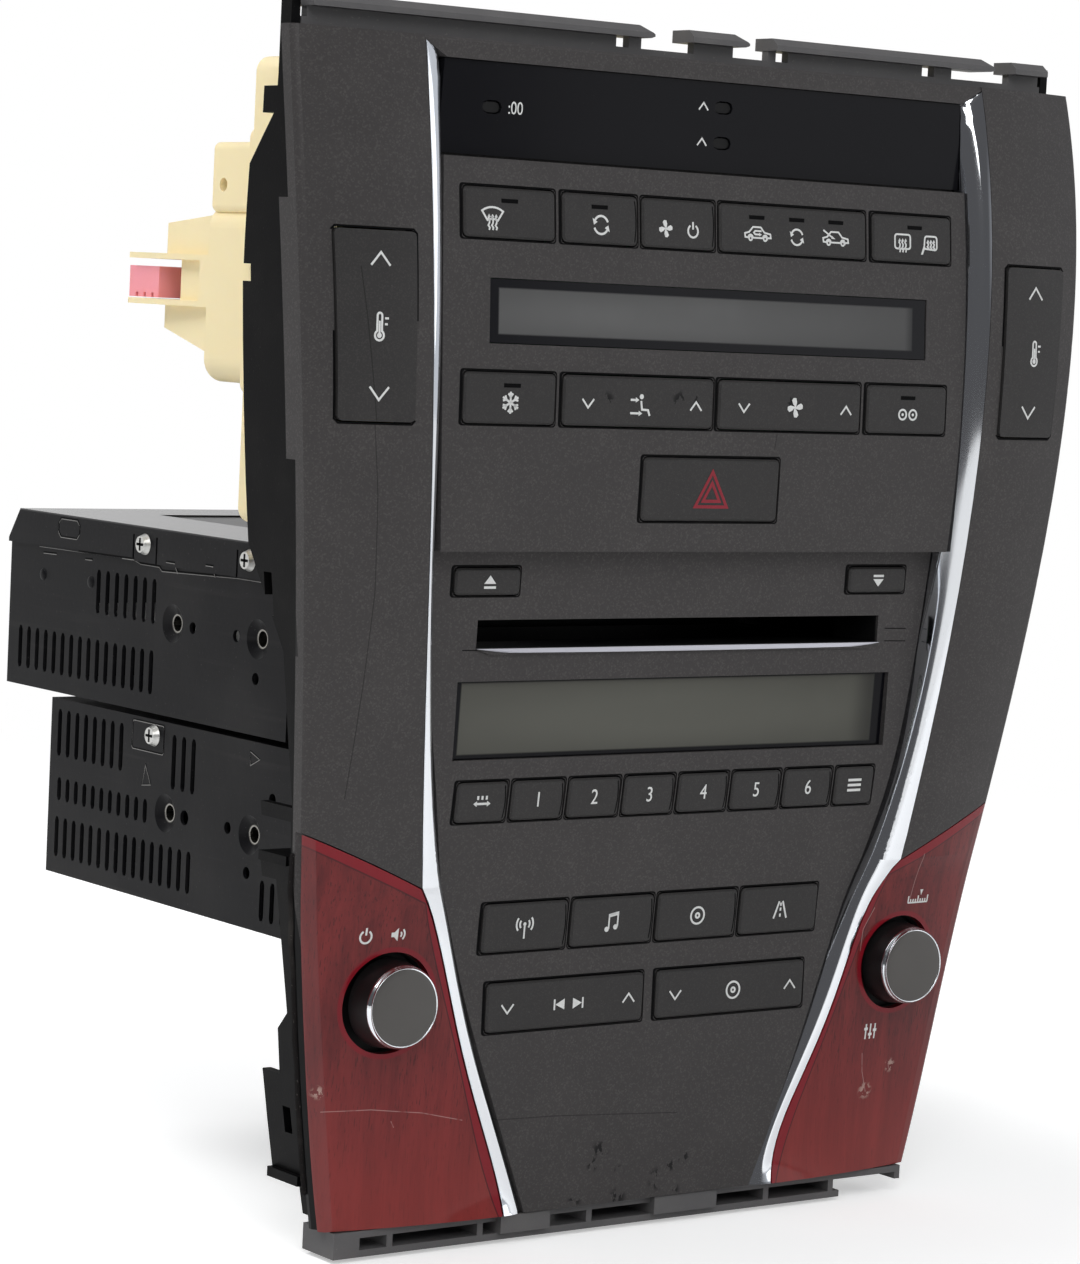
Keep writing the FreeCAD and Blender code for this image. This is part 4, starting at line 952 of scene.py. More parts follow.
    def note(self) -> List[Loop]:
        """Two joined notes.

        Returns:
            Loops to fill.
        """
        loops = self.line((-0.22, -0.34), (-0.22, 0.4), (0.34, 0.5), (0.34, -0.24))
        beam = [(-0.22, 0.26), (-0.22, 0.44), (0.34, 0.54), (0.34, 0.36)]
        return loops + [disc((-0.34, -0.36), 0.14, 12), disc((0.22, -0.26), 0.14, 12), beam]

    def disc(self) -> List[Loop]:
        """Disc with its hole."""
        return self.ring((0.0, 0.0), 0.46, 24) + self.ring((0.0, 0.0), 0.13, 12)

    def road(self) -> List[Loop]:
        """Road that narrows into the distance."""
        loops = self.line((-0.46, -0.48), (-0.12, 0.48)) + self.line((0.46, -0.48), (0.12, 0.48))
        return loops + [loop for z in (-0.4, -0.06, 0.22) for loop in self.line((0.0, z), (0.0, z + 0.18))]

    def skip(self) -> List[Loop]:
        """Two triangles that point apart, each against a bar.

        Returns:
            Loops to fill.
        """
        loops: List[Loop] = []
        for side in (-1.0, 1.0):
            loops.append([(side * 0.25, -0.26), (side * 0.25, 0.26), (side * 0.78, 0.0)])
            loops += self.line((side * 0.84, -0.26), (side * 0.84, 0.26))
        return loops

    def speaker(self) -> List[Loop]:
        """Speaker with waves.

        Returns:
            Loops to fill.
        """
        cone = [(-0.5, -0.14), (-0.3, -0.14), (-0.04, -0.4), (-0.04, 0.4), (-0.3, 0.14), (-0.5, 0.14)]
        loops = [cone]
        for radius in (0.2, 0.42):
            loops += stroke(arc_points((0.0, 0.0), radius, -45.0, 45.0, 8), self.pen)
        return loops

    def dial(self) -> List[Loop]:
        """Tuning scale with a pointer.

        Returns:
            Loops to fill.
        """
        loops = self.line((-0.8, -0.28), (0.8, -0.28))
        for i in range(9):
            x = -0.8 + 0.2 * i
            loops += self.line((x, -0.28), (x, 0.14 if i % 4 == 0 else -0.06))
        return loops + [[(0.08, 0.5), (0.32, 0.5), (0.2, 0.16)]]

    def sliders(self) -> List[Loop]:
        """Three sliders.

        Returns:
            Loops to fill.
        """
        loops: List[Loop] = []
        for x, z in ((-0.36, 0.16), (0.0, -0.18), (0.36, 0.06)):
            loops += self.line((x, -0.46), (x, 0.46))
            loops.append([(x - 0.14, z - 0.08), (x + 0.14, z - 0.08), (x + 0.14, z + 0.08), (x - 0.14, z + 0.08)])
        return loops

    def cycle(self) -> List[Loop]:
        """Two arrows that chase each other round a circle.

        Returns:
            Loops to fill.
        """
        loops: List[Loop] = []
        for start in (20.0, 200.0):
            loops += stroke(arc_points((0.0, 0.0), 0.4, start, start + 128.0, 10), self.pen)
            tip = arc_points((0.0, 0.0), 0.4, start + 128.0, start + 160.0, 1)
            loops.append([arc_points((0.0, 0.0), 0.24, start + 128.0, 0.0, 1)[0],
                          arc_points((0.0, 0.0), 0.56, start + 128.0, 0.0, 1)[0], tip[1]])
        return loops


# Meshes


def placed(name: str, data: Union[bpy.types.Mesh, bpy.types.Light, bpy.types.Camera]) -> bpy.types.Object:
    """Puts a new object in the scene.

    Args:
        name: The object's name.
        data: What it holds.

    Returns:
        The new object.
    """
    made = bpy.data.objects.new(name, data)
    bpy.context.scene.collection.objects.link(made)
    return made


def piece_from(name: str, points: Sequence[Vector], faces: Sequence[Sequence[int]],
               material: bpy.types.Material, smooth: bool = False) -> bpy.types.Object:
    """Makes a mesh object.

    Args:
        name: The piece's name.
        points: Its points in the part's frame.
        faces: Its faces, as indices.
        material: Its finish.
        smooth: Whether it is shaded smoothly.

    Returns:
        The new object.
    """
    mesh = bpy.data.meshes.new(name)
    mesh.from_pydata([tuple(p) for p in points], [], [tuple(f) for f in faces])
    mesh.validate()
    shell = bmesh.new()
    shell.from_mesh(mesh)
    bmesh.ops.remove_doubles(shell, verts=shell.verts, dist=1e-7)
    bmesh.ops.recalc_face_normals(shell, faces=shell.faces)
    shell.to_mesh(mesh)
    shell.free()
    mesh.update()
    mesh.materials.append(material)
    for polygon in mesh.polygons:
        polygon.use_smooth = smooth
    log.info("%s: %d faces", name, len(mesh.polygons))
    return placed(name, mesh)


class Facing(Enum):
    """Side of the object that a print is laid on."""

    FRONT = 0.0
    LEFT = -1.0

    def way(self) -> Vector:
        """Direction into the surface."""
        return Vector((0.0, 1.0, 0.0)) if self is Facing.FRONT else Vector((-self.value, 0.0, 0.0))

    def start(self, across: float, up: float) -> Vector:
        """Point well outside the object, opposite a place on its side."""
        return Vector((across, -BEFORE, up)) if self is Facing.FRONT else Vector((self.value * BESIDE, across, up))


class Ground:
    """A surface of the model that signs are laid on."""

    def __init__(self, objects: Sequence[bpy.types.Object]) -> None:
        """Gathers the triangles of one or more CAD nodes.

        Args:
            objects: The CAD nodes.
        """
        points: List[Vector] = []
        faces: List[Tuple[int, ...]] = []
        for each in objects:
            start = len(points)
            points += [v.co.copy() for v in each.data.vertices]
            faces += [tuple(i + start for i in p.vertices) for p in each.data.polygons]
        self.tree = BVHTree.FromPolygons(points, faces)

    def spot(self, across: float, up: float, facing: Facing) -> Optional[Vector]:
        """First point met at a place, or None."""
        return self.tree.ray_cast(facing.start(across, up), facing.way())[0]

    def depth(self, x: float, z: float) -> Optional[float]:
        """Y of the first surface met from the front, or None."""
        hit = self.spot(x, z, Facing.FRONT)
        return hit.y if hit is not None else None


@dataclass
class Printer:
    """Lays flat drawings on the model's surfaces."""

    nodes: Dict[str, bpy.types.Object]
    lift: float = 0.00006
    spread: float = 0.0012
    grounds: Dict[Tuple[str, ...], Ground] = field(default_factory=dict)

    def ground(self, names: Tuple[str, ...]) -> Ground:
        """Surface of the named nodes, kept for reuse.

        Args:
            names: The CAD nodes.

        Returns:
            Their surface.
        """
        if names not in self.grounds:
            self.grounds[names] = Ground([self.nodes[n] for n in names])
        return self.grounds[names]

    def lay(self, name: str, loops: Iterable[Loop], on: Tuple[str, ...], material: bpy.types.Material, body: str,
            slot: str, facing: Facing = Facing.FRONT) -> Optional[bpy.types.Object]:
        """Prints loops on a surface.

        Args:
            name: The piece's name.
            loops: Outlines in millimetres, as X and Z, or as Y and Z on a side.
            on: CAD nodes that carry the print.
            material: The ink.
            body: The body that it rides on.
            slot: The record's material slot; not used.
            facing: Side of the object that is printed.

        Returns:
            The new piece, or None where nothing was met.
        """
        ground, way = self.ground(on), facing.way()
        points: List[Vector] = []
        faces: List[List[int]] = []
        for loop in loops:
            area = sum(a[0] * b[1] - b[0] * a[1] for a, b in zip(loop, loop[1:] + loop[:1]))
            ordered = loop if area > 0 else loop[::-1]
            hits = [ground.spot(across * MM, up * MM, facing) for across, up in ordered]
            if any(hit is None for hit in hits):
                continue
            deeps = [hit.dot(way) for hit in hits]
            if max(deeps) - min(deeps) > self.spread:
                continue
            spots = [hit - way * self.lift for hit in hits]
            start = len(points)
            back = [p + way * (self.lift * 2) for p in spots]
            count = len(spots)
            points += spots + back
            faces.append([start + i for i in range(count)])
            faces.append([start + count + i for i in reversed(range(count))])
            for i in range(count):
                j = (i + 1) % count
                faces.append([start + j, start + i, start + count + i, start + count + j])
        if not faces:
            log.warning("%s met no surface", name)
            return None
        made = piece_from(name, points, faces, material)
        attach(made, body)
        return made


@dataclass(frozen=True)
class Mark:
    """One sign in its place: centre and height in millimetres, and the pen as a share of the height."""

    sign: Sign
    x: float
    z: float
    height: float
    pen: float = 0.09

    def loops(self) -> List[Loop]:
        """Outlines at their place, in millimetres."""
        return moved(self.sign.draw(self.pen), self.x, self.z, self.height)


def rounded_ring(low: Point, high: Point, radius: float, grow: Tuple[float, float, float, float],
                 step: float = 4.0) -> List[Loop]:
    """Quads of a frame round a rounded rectangle, with a thickness for each side.

    Args:
        low: Lower left corner of the rectangle in millimetres.
        high: Upper right corner in millimetres.
        radius: Corner radius in millimetres.
        grow: Thickness at the left, the top, the right and the bottom.
        step: Longest stretch of one quad.

    Returns:
        The frame's quads.
    """
    left, top, right, bottom = grow

    def outline(x0: float, z0: float, x1: float, z1: float) -> Loop:
        """Corner arcs with the straights between them cut into stretches.

        Args:
            x0: Left side.
            z0: Bottom.
            x1: Right side.
            z1: Top.

        Returns:
            The outline's points.
        """
        spots: Loop = []
        for cx, cz, start in ((x1 - radius, z1 - radius, 0.0), (x0 + radius, z1 - radius, 90.0),
                              (x0 + radius, z0 + radius, 180.0), (x1 - radius, z0 + radius, 270.0)):
            spots += arc_points((cx, cz), radius, start, start + 90.0, 4)
        full: Loop = []
        for i, spot in enumerate(spots):
            after = spots[(i + 1) % len(spots)]
            pieces = cuts[i]
            full += [(spot[0] + (after[0] - spot[0]) * k / pieces, spot[1] + (after[1] - spot[1]) * k / pieces)
                     for k in range(pieces)]
        return full

    across = max(1, math.ceil((high[0] - low[0] - 2 * radius) / step))
    tall = max(1, math.ceil((high[1] - low[1] - 2 * radius) / step))
    cuts = [1, 1, 1, 1, across, 1, 1, 1, 1, tall, 1, 1, 1, 1, across, 1, 1, 1, 1, tall]
    inner = outline(low[0], low[1], high[0], high[1])
    outer = outline(low[0] - left, low[1] - bottom, high[0] + right, high[1] + top)
    count = len(inner)
    return [[inner[i], outer[i], outer[(i + 1) % count], inner[(i + 1) % count]] for i in range(count)]


def numeral(text: str, height: float, at: Point) -> List[Loop]:
    """Outlines of plain numbers from Blender's own font, as triangles.

    Args:
        text: The number.
        height: Height of the figures in millimetres.
        at: Centre in millimetres.

    Returns:
        Filled triangles.
    """
    curve = bpy.data.curves.new("figures", "FONT")
    curve.body = text
    curve.align_x = "CENTER"
    curve.align_y = "CENTER"
    curve.size = height * FIGURE_SIZE
    holder = bpy.data.objects.new("figures", curve)
    mesh = bpy.data.meshes.new_from_object(holder)
    mesh.calc_loop_triangles()
    loops = [[(mesh.vertices[i].co.x * FIGURE_WIDTH + at[0], mesh.vertices[i].co.y + at[1]) for i in triangle.vertices]
             for triangle in mesh.loop_triangles]
    bpy.data.objects.remove(holder)
    bpy.data.curves.remove(curve)
    bpy.data.meshes.remove(mesh)
    return loops


# Pieces that repeat


class Repeat:
    """Geometry Nodes tree that sets one small shape on many points, then is turned into a plain mesh."""

    def __init__(self, name: str) -> None:
        """Starts a tree with a geometry output.

        Args:
            name: The tree's name.
        """
        self.group = bpy.data.node_groups.new(name, "GeometryNodeTree")
        self.group.interface.new_socket("Geometry", in_out="INPUT", socket_type="NodeSocketGeometry")
        self.group.interface.new_socket("Geometry", in_out="OUTPUT", socket_type="NodeSocketGeometry")
        self.entry = self.group.nodes.new("NodeGroupInput")
        self.exit = self.group.nodes.new("NodeGroupOutput")
        self.identifiers: Dict[str, str] = {}

    def size(self, label: str, value: float) -> bpy.types.NodeSocket:
        """Named input of the tree.

        Args:
            label: The input's name.
            value: Its value at first.

        Returns:
            The socket that gives the size.
        """
        made = self.group.interface.new_socket(label, in_out="INPUT", socket_type="NodeSocketFloat")
        made.default_value = value
        self.identifiers[label] = made.identifier
        return self.entry.outputs[label]

    def node(self, kind: str, settings: Dict[str, object], inputs: Dict[Union[int, str], object]) -> bpy.types.Node:
        """Adds a node, as add_node does."""
        return add_node(self.group, kind, settings, inputs)

    def end(self, geometry: bpy.types.NodeSocket, material: bpy.types.Material) -> None:
        """Realizes what repeats and gives it its finish.

        Args:
            geometry: What repeats.
            material: Its finish.
        """
        real = self.node("GeometryNodeRealizeInstances", {}, {0: geometry})
        dressed = self.node("GeometryNodeSetMaterial", {}, {0: real.outputs[0], 2: material})
        self.group.links.new(dressed.outputs[0], self.exit.inputs[0])

    def run(self, name: str, points: Sequence[Vector], edges: Sequence[Tuple[int, int]],
            sizes: Dict[str, float]) -> bpy.types.Object:
        """Applies the tree to points.

        Args:
            name: The piece's name.
            points: Where the shape goes.
            edges: Lines between the points, where the tree follows them.
            sizes: Values of the named inputs.

        Returns:
            A plain mesh object.
        """
        seed = bpy.data.meshes.new(name + "_points")
        seed.from_pydata([tuple(p) for p in points], list(edges), [])
        holder = placed(name + "_points", seed)
        modifier = holder.modifiers.new("repeat", "NODES")
        modifier.node_group = self.group
        for label, value in sizes.items():
            modifier[self.identifiers[label]] = value
        graph = bpy.context.evaluated_depsgraph_get()
        mesh = bpy.data.meshes.new_from_object(holder.evaluated_get(graph), depsgraph=graph)
        holder.modifiers.clear()
        bpy.data.objects.remove(holder)
        mesh.name = name
        log.info("%s: %d faces", name, len(mesh.polygons))
        return placed(name, mesh)


def bar_repeat(name: str, material: bpy.types.Material) -> Repeat:
    """Tree that sets a small block on every point, with its length, height and depth as inputs.

    Args:
        name: The tree's name.
        material: The finish.

    Returns:
        The tree, ready to run.
    """
    repeat = Repeat(name)
    size = repeat.node("ShaderNodeCombineXYZ", {}, {0: repeat.size("Length", 0.004), 1: repeat.size("Depth", 0.0002),
                                                    2: repeat.size("Height", 0.0008)})
    block = repeat.node("GeometryNodeMeshCube", {}, {"Size": size.outputs[0]})
    spread = repeat.node("GeometryNodeInstanceOnPoints", {}, {"Points": repeat.entry.outputs[0],
                                                              "Instance": block.outputs[0]})
    repeat.end(spread.outputs[0], material)
    return repeat


def dome_repeat(name: str, material: bpy.types.Material) -> Repeat:
    """Tree that sets a low dome, turned to the side, on every point.

    Args:
        name: The tree's name.
        material: The finish.

    Returns:
        The tree, ready to run.
    """
    repeat = Repeat(name)
    radius = repeat.size("Radius", 0.002)
    ball = repeat.node("GeometryNodeMeshUVSphere", {}, {"Segments": 20, "Rings": 10, "Radius": radius})
    flat = repeat.node("GeometryNodeTransform", {}, {0: ball.outputs[0], "Scale": (0.35, 1.0, 1.0)})
    spread = repeat.node("GeometryNodeInstanceOnPoints", {}, {"Points": repeat.entry.outputs[0],
                                                              "Instance": flat.outputs[0]})
    repeat.end(spread.outputs[0], material)
    return repeat


def path_repeat(name: str, material: bpy.types.Material) -> Repeat:
    """Tree that runs a flat strip along a line of points.

    Args:
        name: The tree's name.
        material: The finish.

    Returns:
        The tree, ready to run.
    """
    repeat = Repeat(name)
    path = repeat.node("GeometryNodeMeshToCurve", {}, {0: repeat.entry.outputs[0]})
    outline = repeat.node("GeometryNodeCurvePrimitiveQuadrilateral", {},
                          {0: repeat.size("Width", 0.001), 1: repeat.size("Thickness", 0.002)})
    strip = repeat.node("GeometryNodeCurveToMesh", {}, {0: path.outputs[0], 1: outline.outputs[0], "Fill Caps": True})
    repeat.end(strip.outputs[0], material)
    return repeat


# The object's sub-assemblies


@dataclass
class Finishes:
    """All finishes, made once."""

    scratches: Tuple[Tuple[Point, ...], ...] = (
        ((-0.1119, 0.1217), (-0.1099, 0.1100), (-0.1066, 0.0880), (-0.1040, 0.0673), (-0.1024, 0.0435),
         (-0.1029, 0.0195), (-0.1039, -0.0075)),
        ((-0.0503, -0.0928), (-0.0287, -0.0934), (0.0113, -0.0959)),
        ((0.0205, 0.0800), (0.0212, 0.0850)))
    face_chips: Tuple[Tuple[Point, float], ...] = (
        ((-0.0137, -0.1038), 0.0036), ((-0.0160, -0.1072), 0.0026), ((-0.0072, -0.1100), 0.0022),
        ((0.0058, -0.1132), 0.0040), ((0.0141, -0.1080), 0.0026), ((0.0100, -0.1100), 0.0020),
        ((-0.0211, -0.1160), 0.0030), ((-0.0072, -0.1170), 0.0036), ((0.0113, -0.1170), 0.0030))
    key_chips: Tuple[Tuple[Point, float], ...] = (
        ((-0.0350, 0.0915), 0.0026), ((-0.0120, 0.0921), 0.0030), ((-0.0060, 0.0925), 0.0022),
        ((0.0252, 0.0922), 0.0032))
    scuffs: Tuple[Tuple[Point, ...], ...] = (
        ((-0.1001, -0.0868), (-0.0861, -0.0871), (-0.0711, -0.0890), (-0.0583, -0.0920)),
        ((-0.0800, -0.0905), (-0.0790, -0.0922)),
        ((0.0878, -0.0295), (0.0867, -0.0380), (0.0862, -0.0425)), ((0.0737, -0.0441), (0.0705, -0.0500),
                                                                   (0.0702, -0.0560)),
        ((0.0749, -0.0848), (0.0757, -0.0900), (0.0779, -0.0960)), ((0.0855, -0.0885), (0.0862, -0.0905)))
    wood_chips: Tuple[Tuple[Point, float], ...] = (
        ((-0.1012, -0.0818), 0.0022), ((0.0775, -0.0955), 0.0030), ((0.0862, -0.0892), 0.0024))
    made: Dict[str, bpy.types.Material] = field(default_factory=dict)

    def build(self) -> None:
        """Makes every material."""
        recipes: List[object] = [
            FasciaPaint(scratches=self.scratches, chips=self.face_chips),
            FasciaPaint(name="key_paint", colour=srgb(50, 49, 49), flake=srgb(74, 72, 71), flake_scale=3400.0,
                        scratches=self.scratches[:1], chips=self.key_chips),
            LacqueredWood(scuffs=self.scuffs, chips=self.wood_chips),
            Plated("chrome", (0.72, 0.74, 0.77), 0.07, 0.002, wave=0.0000002),
            Plated("lip_metal", (0.42, 0.42, 0.46), 0.3, 0.1, 0.8),
            Plated("zinc", (0.62, 0.62, 0.60), 0.28, 0.15),
            Plated("turned_steel", (0.55, 0.55, 0.56), 0.3),
            BlackSheet("changer_sheet"),
            BlackSheet("tuner_sheet", hole_height=-0.0256),
            Moulded("black_plastic", srgb(9, 9, 10), 0.36, dust=0.03, shine=0.05),
            Moulded("clip_plastic", srgb(86, 85, 86), 0.45, dust=0.18, shine=0.24),
            Moulded("cream_plastic", srgb(248, 231, 186), 0.42, dust=0.03, texture=0.00003, through=0.2, shine=0.35,
                    dust_colour=srgb(222, 200, 150)),
            Moulded("pink_plastic", srgb(247, 158, 168), 0.4, dust=0.04, through=0.2, shine=0.35,
                    dust_colour=srgb(205, 105, 118)),
            Moulded("black_rubber", srgb(17, 17, 18), 0.72, texture=0.00012, texture_scale=1100.0),
            Moulded("pusher_cap", srgb(10, 10, 11), 0.55, dust=0.0, shine=0.2),
            Moulded("knob_side", srgb(17, 17, 18), 0.3, dust=0.03, shine=0.35),
            Moulded("knob_cap", srgb(78, 76, 74), 0.36, texture=0.00003, texture_scale=4200.0, dust=0.08, metal=0.55,
                    dust_colour=srgb(120, 118, 115)),
            Moulded("board", srgb(30, 92, 52), 0.45, dust=0.03, coat=0.3),
            Moulded("foam", srgb(26, 24, 24), 0.95, texture=0.0005, texture_scale=1600.0, dust=0.2, shine=0.1),
            # Panes with painted shade on their fields, and a painted shadow along the right side of both displays.
            Glazing("smoked_window", srgb(21, 21, 24), srgb(17, 17, 20), srgb(18, 18, 21), rough=0.08, shine=0.06),
            Glazing("climate_glass", srgb(96, 96, 96), srgb(76, 76, 76), srgb(13, 13, 17), centre=(-0.0009, 0.1125),
                    half=(0.0676, 0.0056), shadow=0.003),
            Glazing("radio_glass", srgb(92, 92, 86), srgb(86, 86, 80), srgb(13, 13, 17), centre=(-0.0008, 0.0110),
                    half=(0.0680, 0.0090), shadow=0.009),
            Ink("white_print", srgb(216, 217, 216)),
            Ink("red_print", srgb(132, 30, 44)),
            # Black ink for the indicator slots and the short lines at the disc slot's ends, and for painted shade round
            # key windows, on ribs, in pressed lines and in screw recesses.
            Ink("shade_and_dark_print", srgb(7, 7, 8), 0.6, 0.05),
            # Painted highlight under the pressed lines on the case sides.
            Ink("edge_glint", srgb(128, 127, 125), 0.4),
        ]
        for recipe in recipes:
            self.made[recipe.name] = recipe.build()
        log.info("%d finishes", len(self.made))

    def __getitem__(self, name: str) -> bpy.types.Material:
        """One finish by name."""
        return self.made[name]


@dataclass
class Housing:
    """Gives every CAD node the finish of its slot, most of which have the slot's name."""

    frame: Dict[str, object]
    finishes: Finishes
    renamed: Dict[str, str] = field(default_factory=lambda: {
        "pusher": "pusher_cap", "knob": "knob_side", "shaft": "turned_steel", "rubber": "black_rubber",
        "black_sheet": "changer_sheet"})

    def finish_of(self, node: str, slot: str) -> str:
        """Name of a node's finish.

        Args:
            node: The CAD node.
            slot: Its material slot in the record.

        Returns:
            The finish's name.
        """
        if node == "tuner_case":
            return "tuner_sheet"
        if node.startswith("clip_rail"):
            return "clip_plastic"
        if slot == "fascia_paint" and (node.endswith("key") or "rocker" in node or "_key_" in node):
            return "key_paint"
        return self.renamed.get(slot, slot)

    def dress(self) -> None:
        """Assigns the materials."""
        for entry in self.frame["record"]["subparts"]:
            node, slot = entry["node"], entry["material_slot"]
            target = self.frame["nodes"][node]
            target.data.materials.clear()
            finish = self.finish_of(node, slot)
            target.data.materials.append(self.finishes[finish])
            log.info("%s: %s", node, finish)


@dataclass
class Signs:
    """Printed pictograms, numbers and indicator slots, and painted shade round the key windows and along the ribs
    between keys, with places and sizes in millimetres.
    """

    printer: Printer
    finishes: Finishes
    figure_height: float = 4.0
    marks: Dict[str, Tuple[Mark, ...]] = field(default_factory=lambda: {
        "front_defrost_key": (Mark(Sign.SCREEN, -71.2, 134.9, 5.4),),
        "auto_key": (Mark(Sign.CYCLE, -37.9, 134.9, 5.6, 0.1),),
        "fan_off_key": (Mark(Sign.FAN, -17.4, 135.0, 4.4), Mark(Sign.POWER, -8.6, 135.0, 4.2, 0.12)),
        "recirculation_key": (Mark(Sign.INSIDE_AIR, 12.7, 135.0, 4.4, 0.1), Mark(Sign.CYCLE, 25.8, 134.9, 5.0, 0.1),
                              Mark(Sign.OUTSIDE_AIR, 39.0, 135.0, 4.4, 0.1)),
        "rear_defrost_key": (Mark(Sign.REAR_SCREEN, 62.3, 135.0, 5.2), Mark(Sign.MIRROR, 71.9, 135.0, 5.2)),
        "cooling_key": (Mark(Sign.SNOW, -65.0, 90.2, 5.4, 0.1),),
        "mode_rocker": (Mark(Sign.CHEVRON_DOWN, -41.1, 90.6, 3.6, 0.13), Mark(Sign.SEAT, -24.4, 90.6, 5.4, 0.1),
                        Mark(Sign.CHEVRON_UP, -6.7, 90.6, 3.6, 0.13)),
        "fan_rocker": (Mark(Sign.CHEVRON_DOWN, 9.1, 90.6, 3.6, 0.13), Mark(Sign.FAN, 26.2, 91.0, 5.2),
                       Mark(Sign.CHEVRON_UP, 43.6, 90.6, 3.6, 0.13)),
        "dual_key": (Mark(Sign.PAIR, 65.2, 90.0, 5.0, 0.1),),
        "temperature_rocker_left": (Mark(Sign.CHEVRON_UP, -106.6, 123.6, 5.2, 0.1),
                                    Mark(Sign.THERMOMETER, -106.6, 107.6, 6.4, 0.08),
                                    Mark(Sign.CHEVRON_DOWN, -106.0, 91.6, 5.2, 0.1)),
        "temperature_rocker_right": (Mark(Sign.CHEVRON_UP, 107.2, 123.6, 5.2, 0.1),
                                     Mark(Sign.THERMOMETER, 107.2, 107.6, 6.4, 0.08),
                                     Mark(Sign.CHEVRON_DOWN, 106.0, 91.6, 5.2, 0.1)),
        "eject_key": (Mark(Sign.EJECT, -63.6, 45.3, 3.6),),
        "load_key": (Mark(Sign.LOAD, 64.2, 45.4, 3.6),),
        "scan_key": (Mark(Sign.SWEEP, -61.0, -10.4, 4.4, 0.13),),
        "text_key": (Mark(Sign.LINES, 62.0, -9.9, 4.6, 0.15),),
        "band_key_1": (Mark(Sign.MAST, -42.4, -43.6, 5.4, 0.09),),
        "band_key_2": (Mark(Sign.NOTE, -14.2, -43.6, 5.0, 0.09),),
        "band_key_3": (Mark(Sign.DISC, 14.0, -43.4, 4.8, 0.11),),
        "band_key_4": (Mark(Sign.ROAD, 42.4, -43.4, 4.8, 0.11),),
        "seek_rocker": (Mark(Sign.CHEVRON_DOWN, -46.1, -64.3, 3.8, 0.12), Mark(Sign.SKIP, -26.6, -64.2, 5.4, 0.09),
                        Mark(Sign.CHEVRON_UP, -7.1, -64.0, 3.8, 0.12)),
        "type_rocker": (Mark(Sign.CHEVRON_DOWN, 8.4, -64.3, 3.8, 0.12), Mark(Sign.DISC, 28.0, -64.2, 4.8, 0.11),
                        Mark(Sign.CHEVRON_UP, 47.6, -64.0, 3.8, 0.12)),
    })
    wood_marks: Dict[str, Tuple[Mark, ...]] = field(default_factory=lambda: {
        "wood_panel_left": (Mark(Sign.POWER, -92.6, -42.4, 4.2, 0.12), Mark(Sign.SPEAKER, -83.2, -42.4, 4.2, 0.11)),
        "wood_panel_right": (Mark(Sign.DIAL, 89.3, -42.2, 4.6, 0.09), Mark(Sign.SLIDERS, 76.9, -78.8, 4.6, 0.1)),
    })
    windows: Dict[str, Tuple[Tuple[str, ...], ...]] = field(default_factory=lambda: {
        "climate_face": (("front_defrost_key",), ("auto_key", "fan_off_key", "recirculation_key"),
                         ("rear_defrost_key",), ("cooling_key",), ("mode_rocker",), ("fan_rocker",), ("dual_key",),
                         ("hazard_key",)),
        "radio_face": (("eject_key",), ("load_key",),
                       ("scan_key", "preset_key_1", "preset_key_2", "preset_key_3", "preset_key_4", "preset_key_5",
                        "preset_key_6", "text_key"),
                       ("band_key_1", "band_key_2", "band_key_3", "band_key_4"), ("seek_rocker",),
                       ("type_rocker",))})
    hazard: Mark = Mark(Sign.HAZARD, 0.0, 69.2, 9.6, 0.085)
    clock_marks: Tuple[Mark, ...] = (Mark(Sign.CHEVRON_UP, -3.4, 166.6, 3.0, 0.14),
                                     Mark(Sign.CHEVRON_UP, -3.4, 157.6, 3.0, 0.14))
    clock_figures: Point = (-62.4, 162.0)
    clock_figure_height: float = 3.2
    preset_line: float = -10.1
    indicators: Dict[str, Tuple[Point, ...]] = field(default_factory=lambda: {
        "front_defrost_key": ((-66.0, 139.3),), "auto_key": ((-38.3, 139.3),),
        "recirculation_key": ((12.4, 139.3), (25.8, 139.3), (39.1, 139.3)), "rear_defrost_key": ((66.6, 139.3),),
        "cooling_key": ((-64.6, 94.4),), "dual_key": ((65.1, 94.4),)})
    indicator_sizes: Dict[str, float] = field(default_factory=lambda: {  # in metres
        "Length": 0.0050, "Height": 0.0010, "Depth": 0.00020})
    slot_lines: Tuple[Tuple[Point, Point], ...] = (
        ((-72.0, 33.3), (-66.0, 33.2)), ((-70.2, 28.4), (-65.6, 28.3)), ((68.5, 32.4), (76.0, 32.3)),
        ((68.7, 29.0), (76.2, 28.9)))
    slot_line_width: float = 0.22
    # Sizes of the painted shade lines along the ribs, round the key windows and round the temperature rocker windows.
    rib_inset: float = 1.25
    rib_bow: float = 0.55
    rib_width: float = 0.26
    window_radius: float = 0.9
    window_line: Tuple[float, float, float, float] = (0.2, 0.4, 0.2, 0.3)
    row_start_line: float = 0.7
    temperature_window: Tuple[Point, ...] = ((95.5, 84.9), (116.4, 84.9), (118.9, 130.4), (96.6, 130.4))
    temperature_gap: float = 0.58
    temperature_line: float = 0.46
    temperature_cut: float = 1.0
    longest: float = 3.0
    flange: Tuple[float, float] = (1.25, 2.95)
    gap: float = 0.36

    def lay_marks(self, name: str, marks: Sequence[Mark], node: str, body: str, slot: str) -> None:
        """Prints signs in white.

        Args:
            name: The piece's name.
            marks: The signs.
            node: CAD node that carries them.
            body: The body that they ride on.
            slot: The record's material slot.
        """
        loops = [loop for mark in marks for loop in mark.loops()]
        self.printer.lay(name, loops, (node,), self.finishes["white_print"], body, slot)

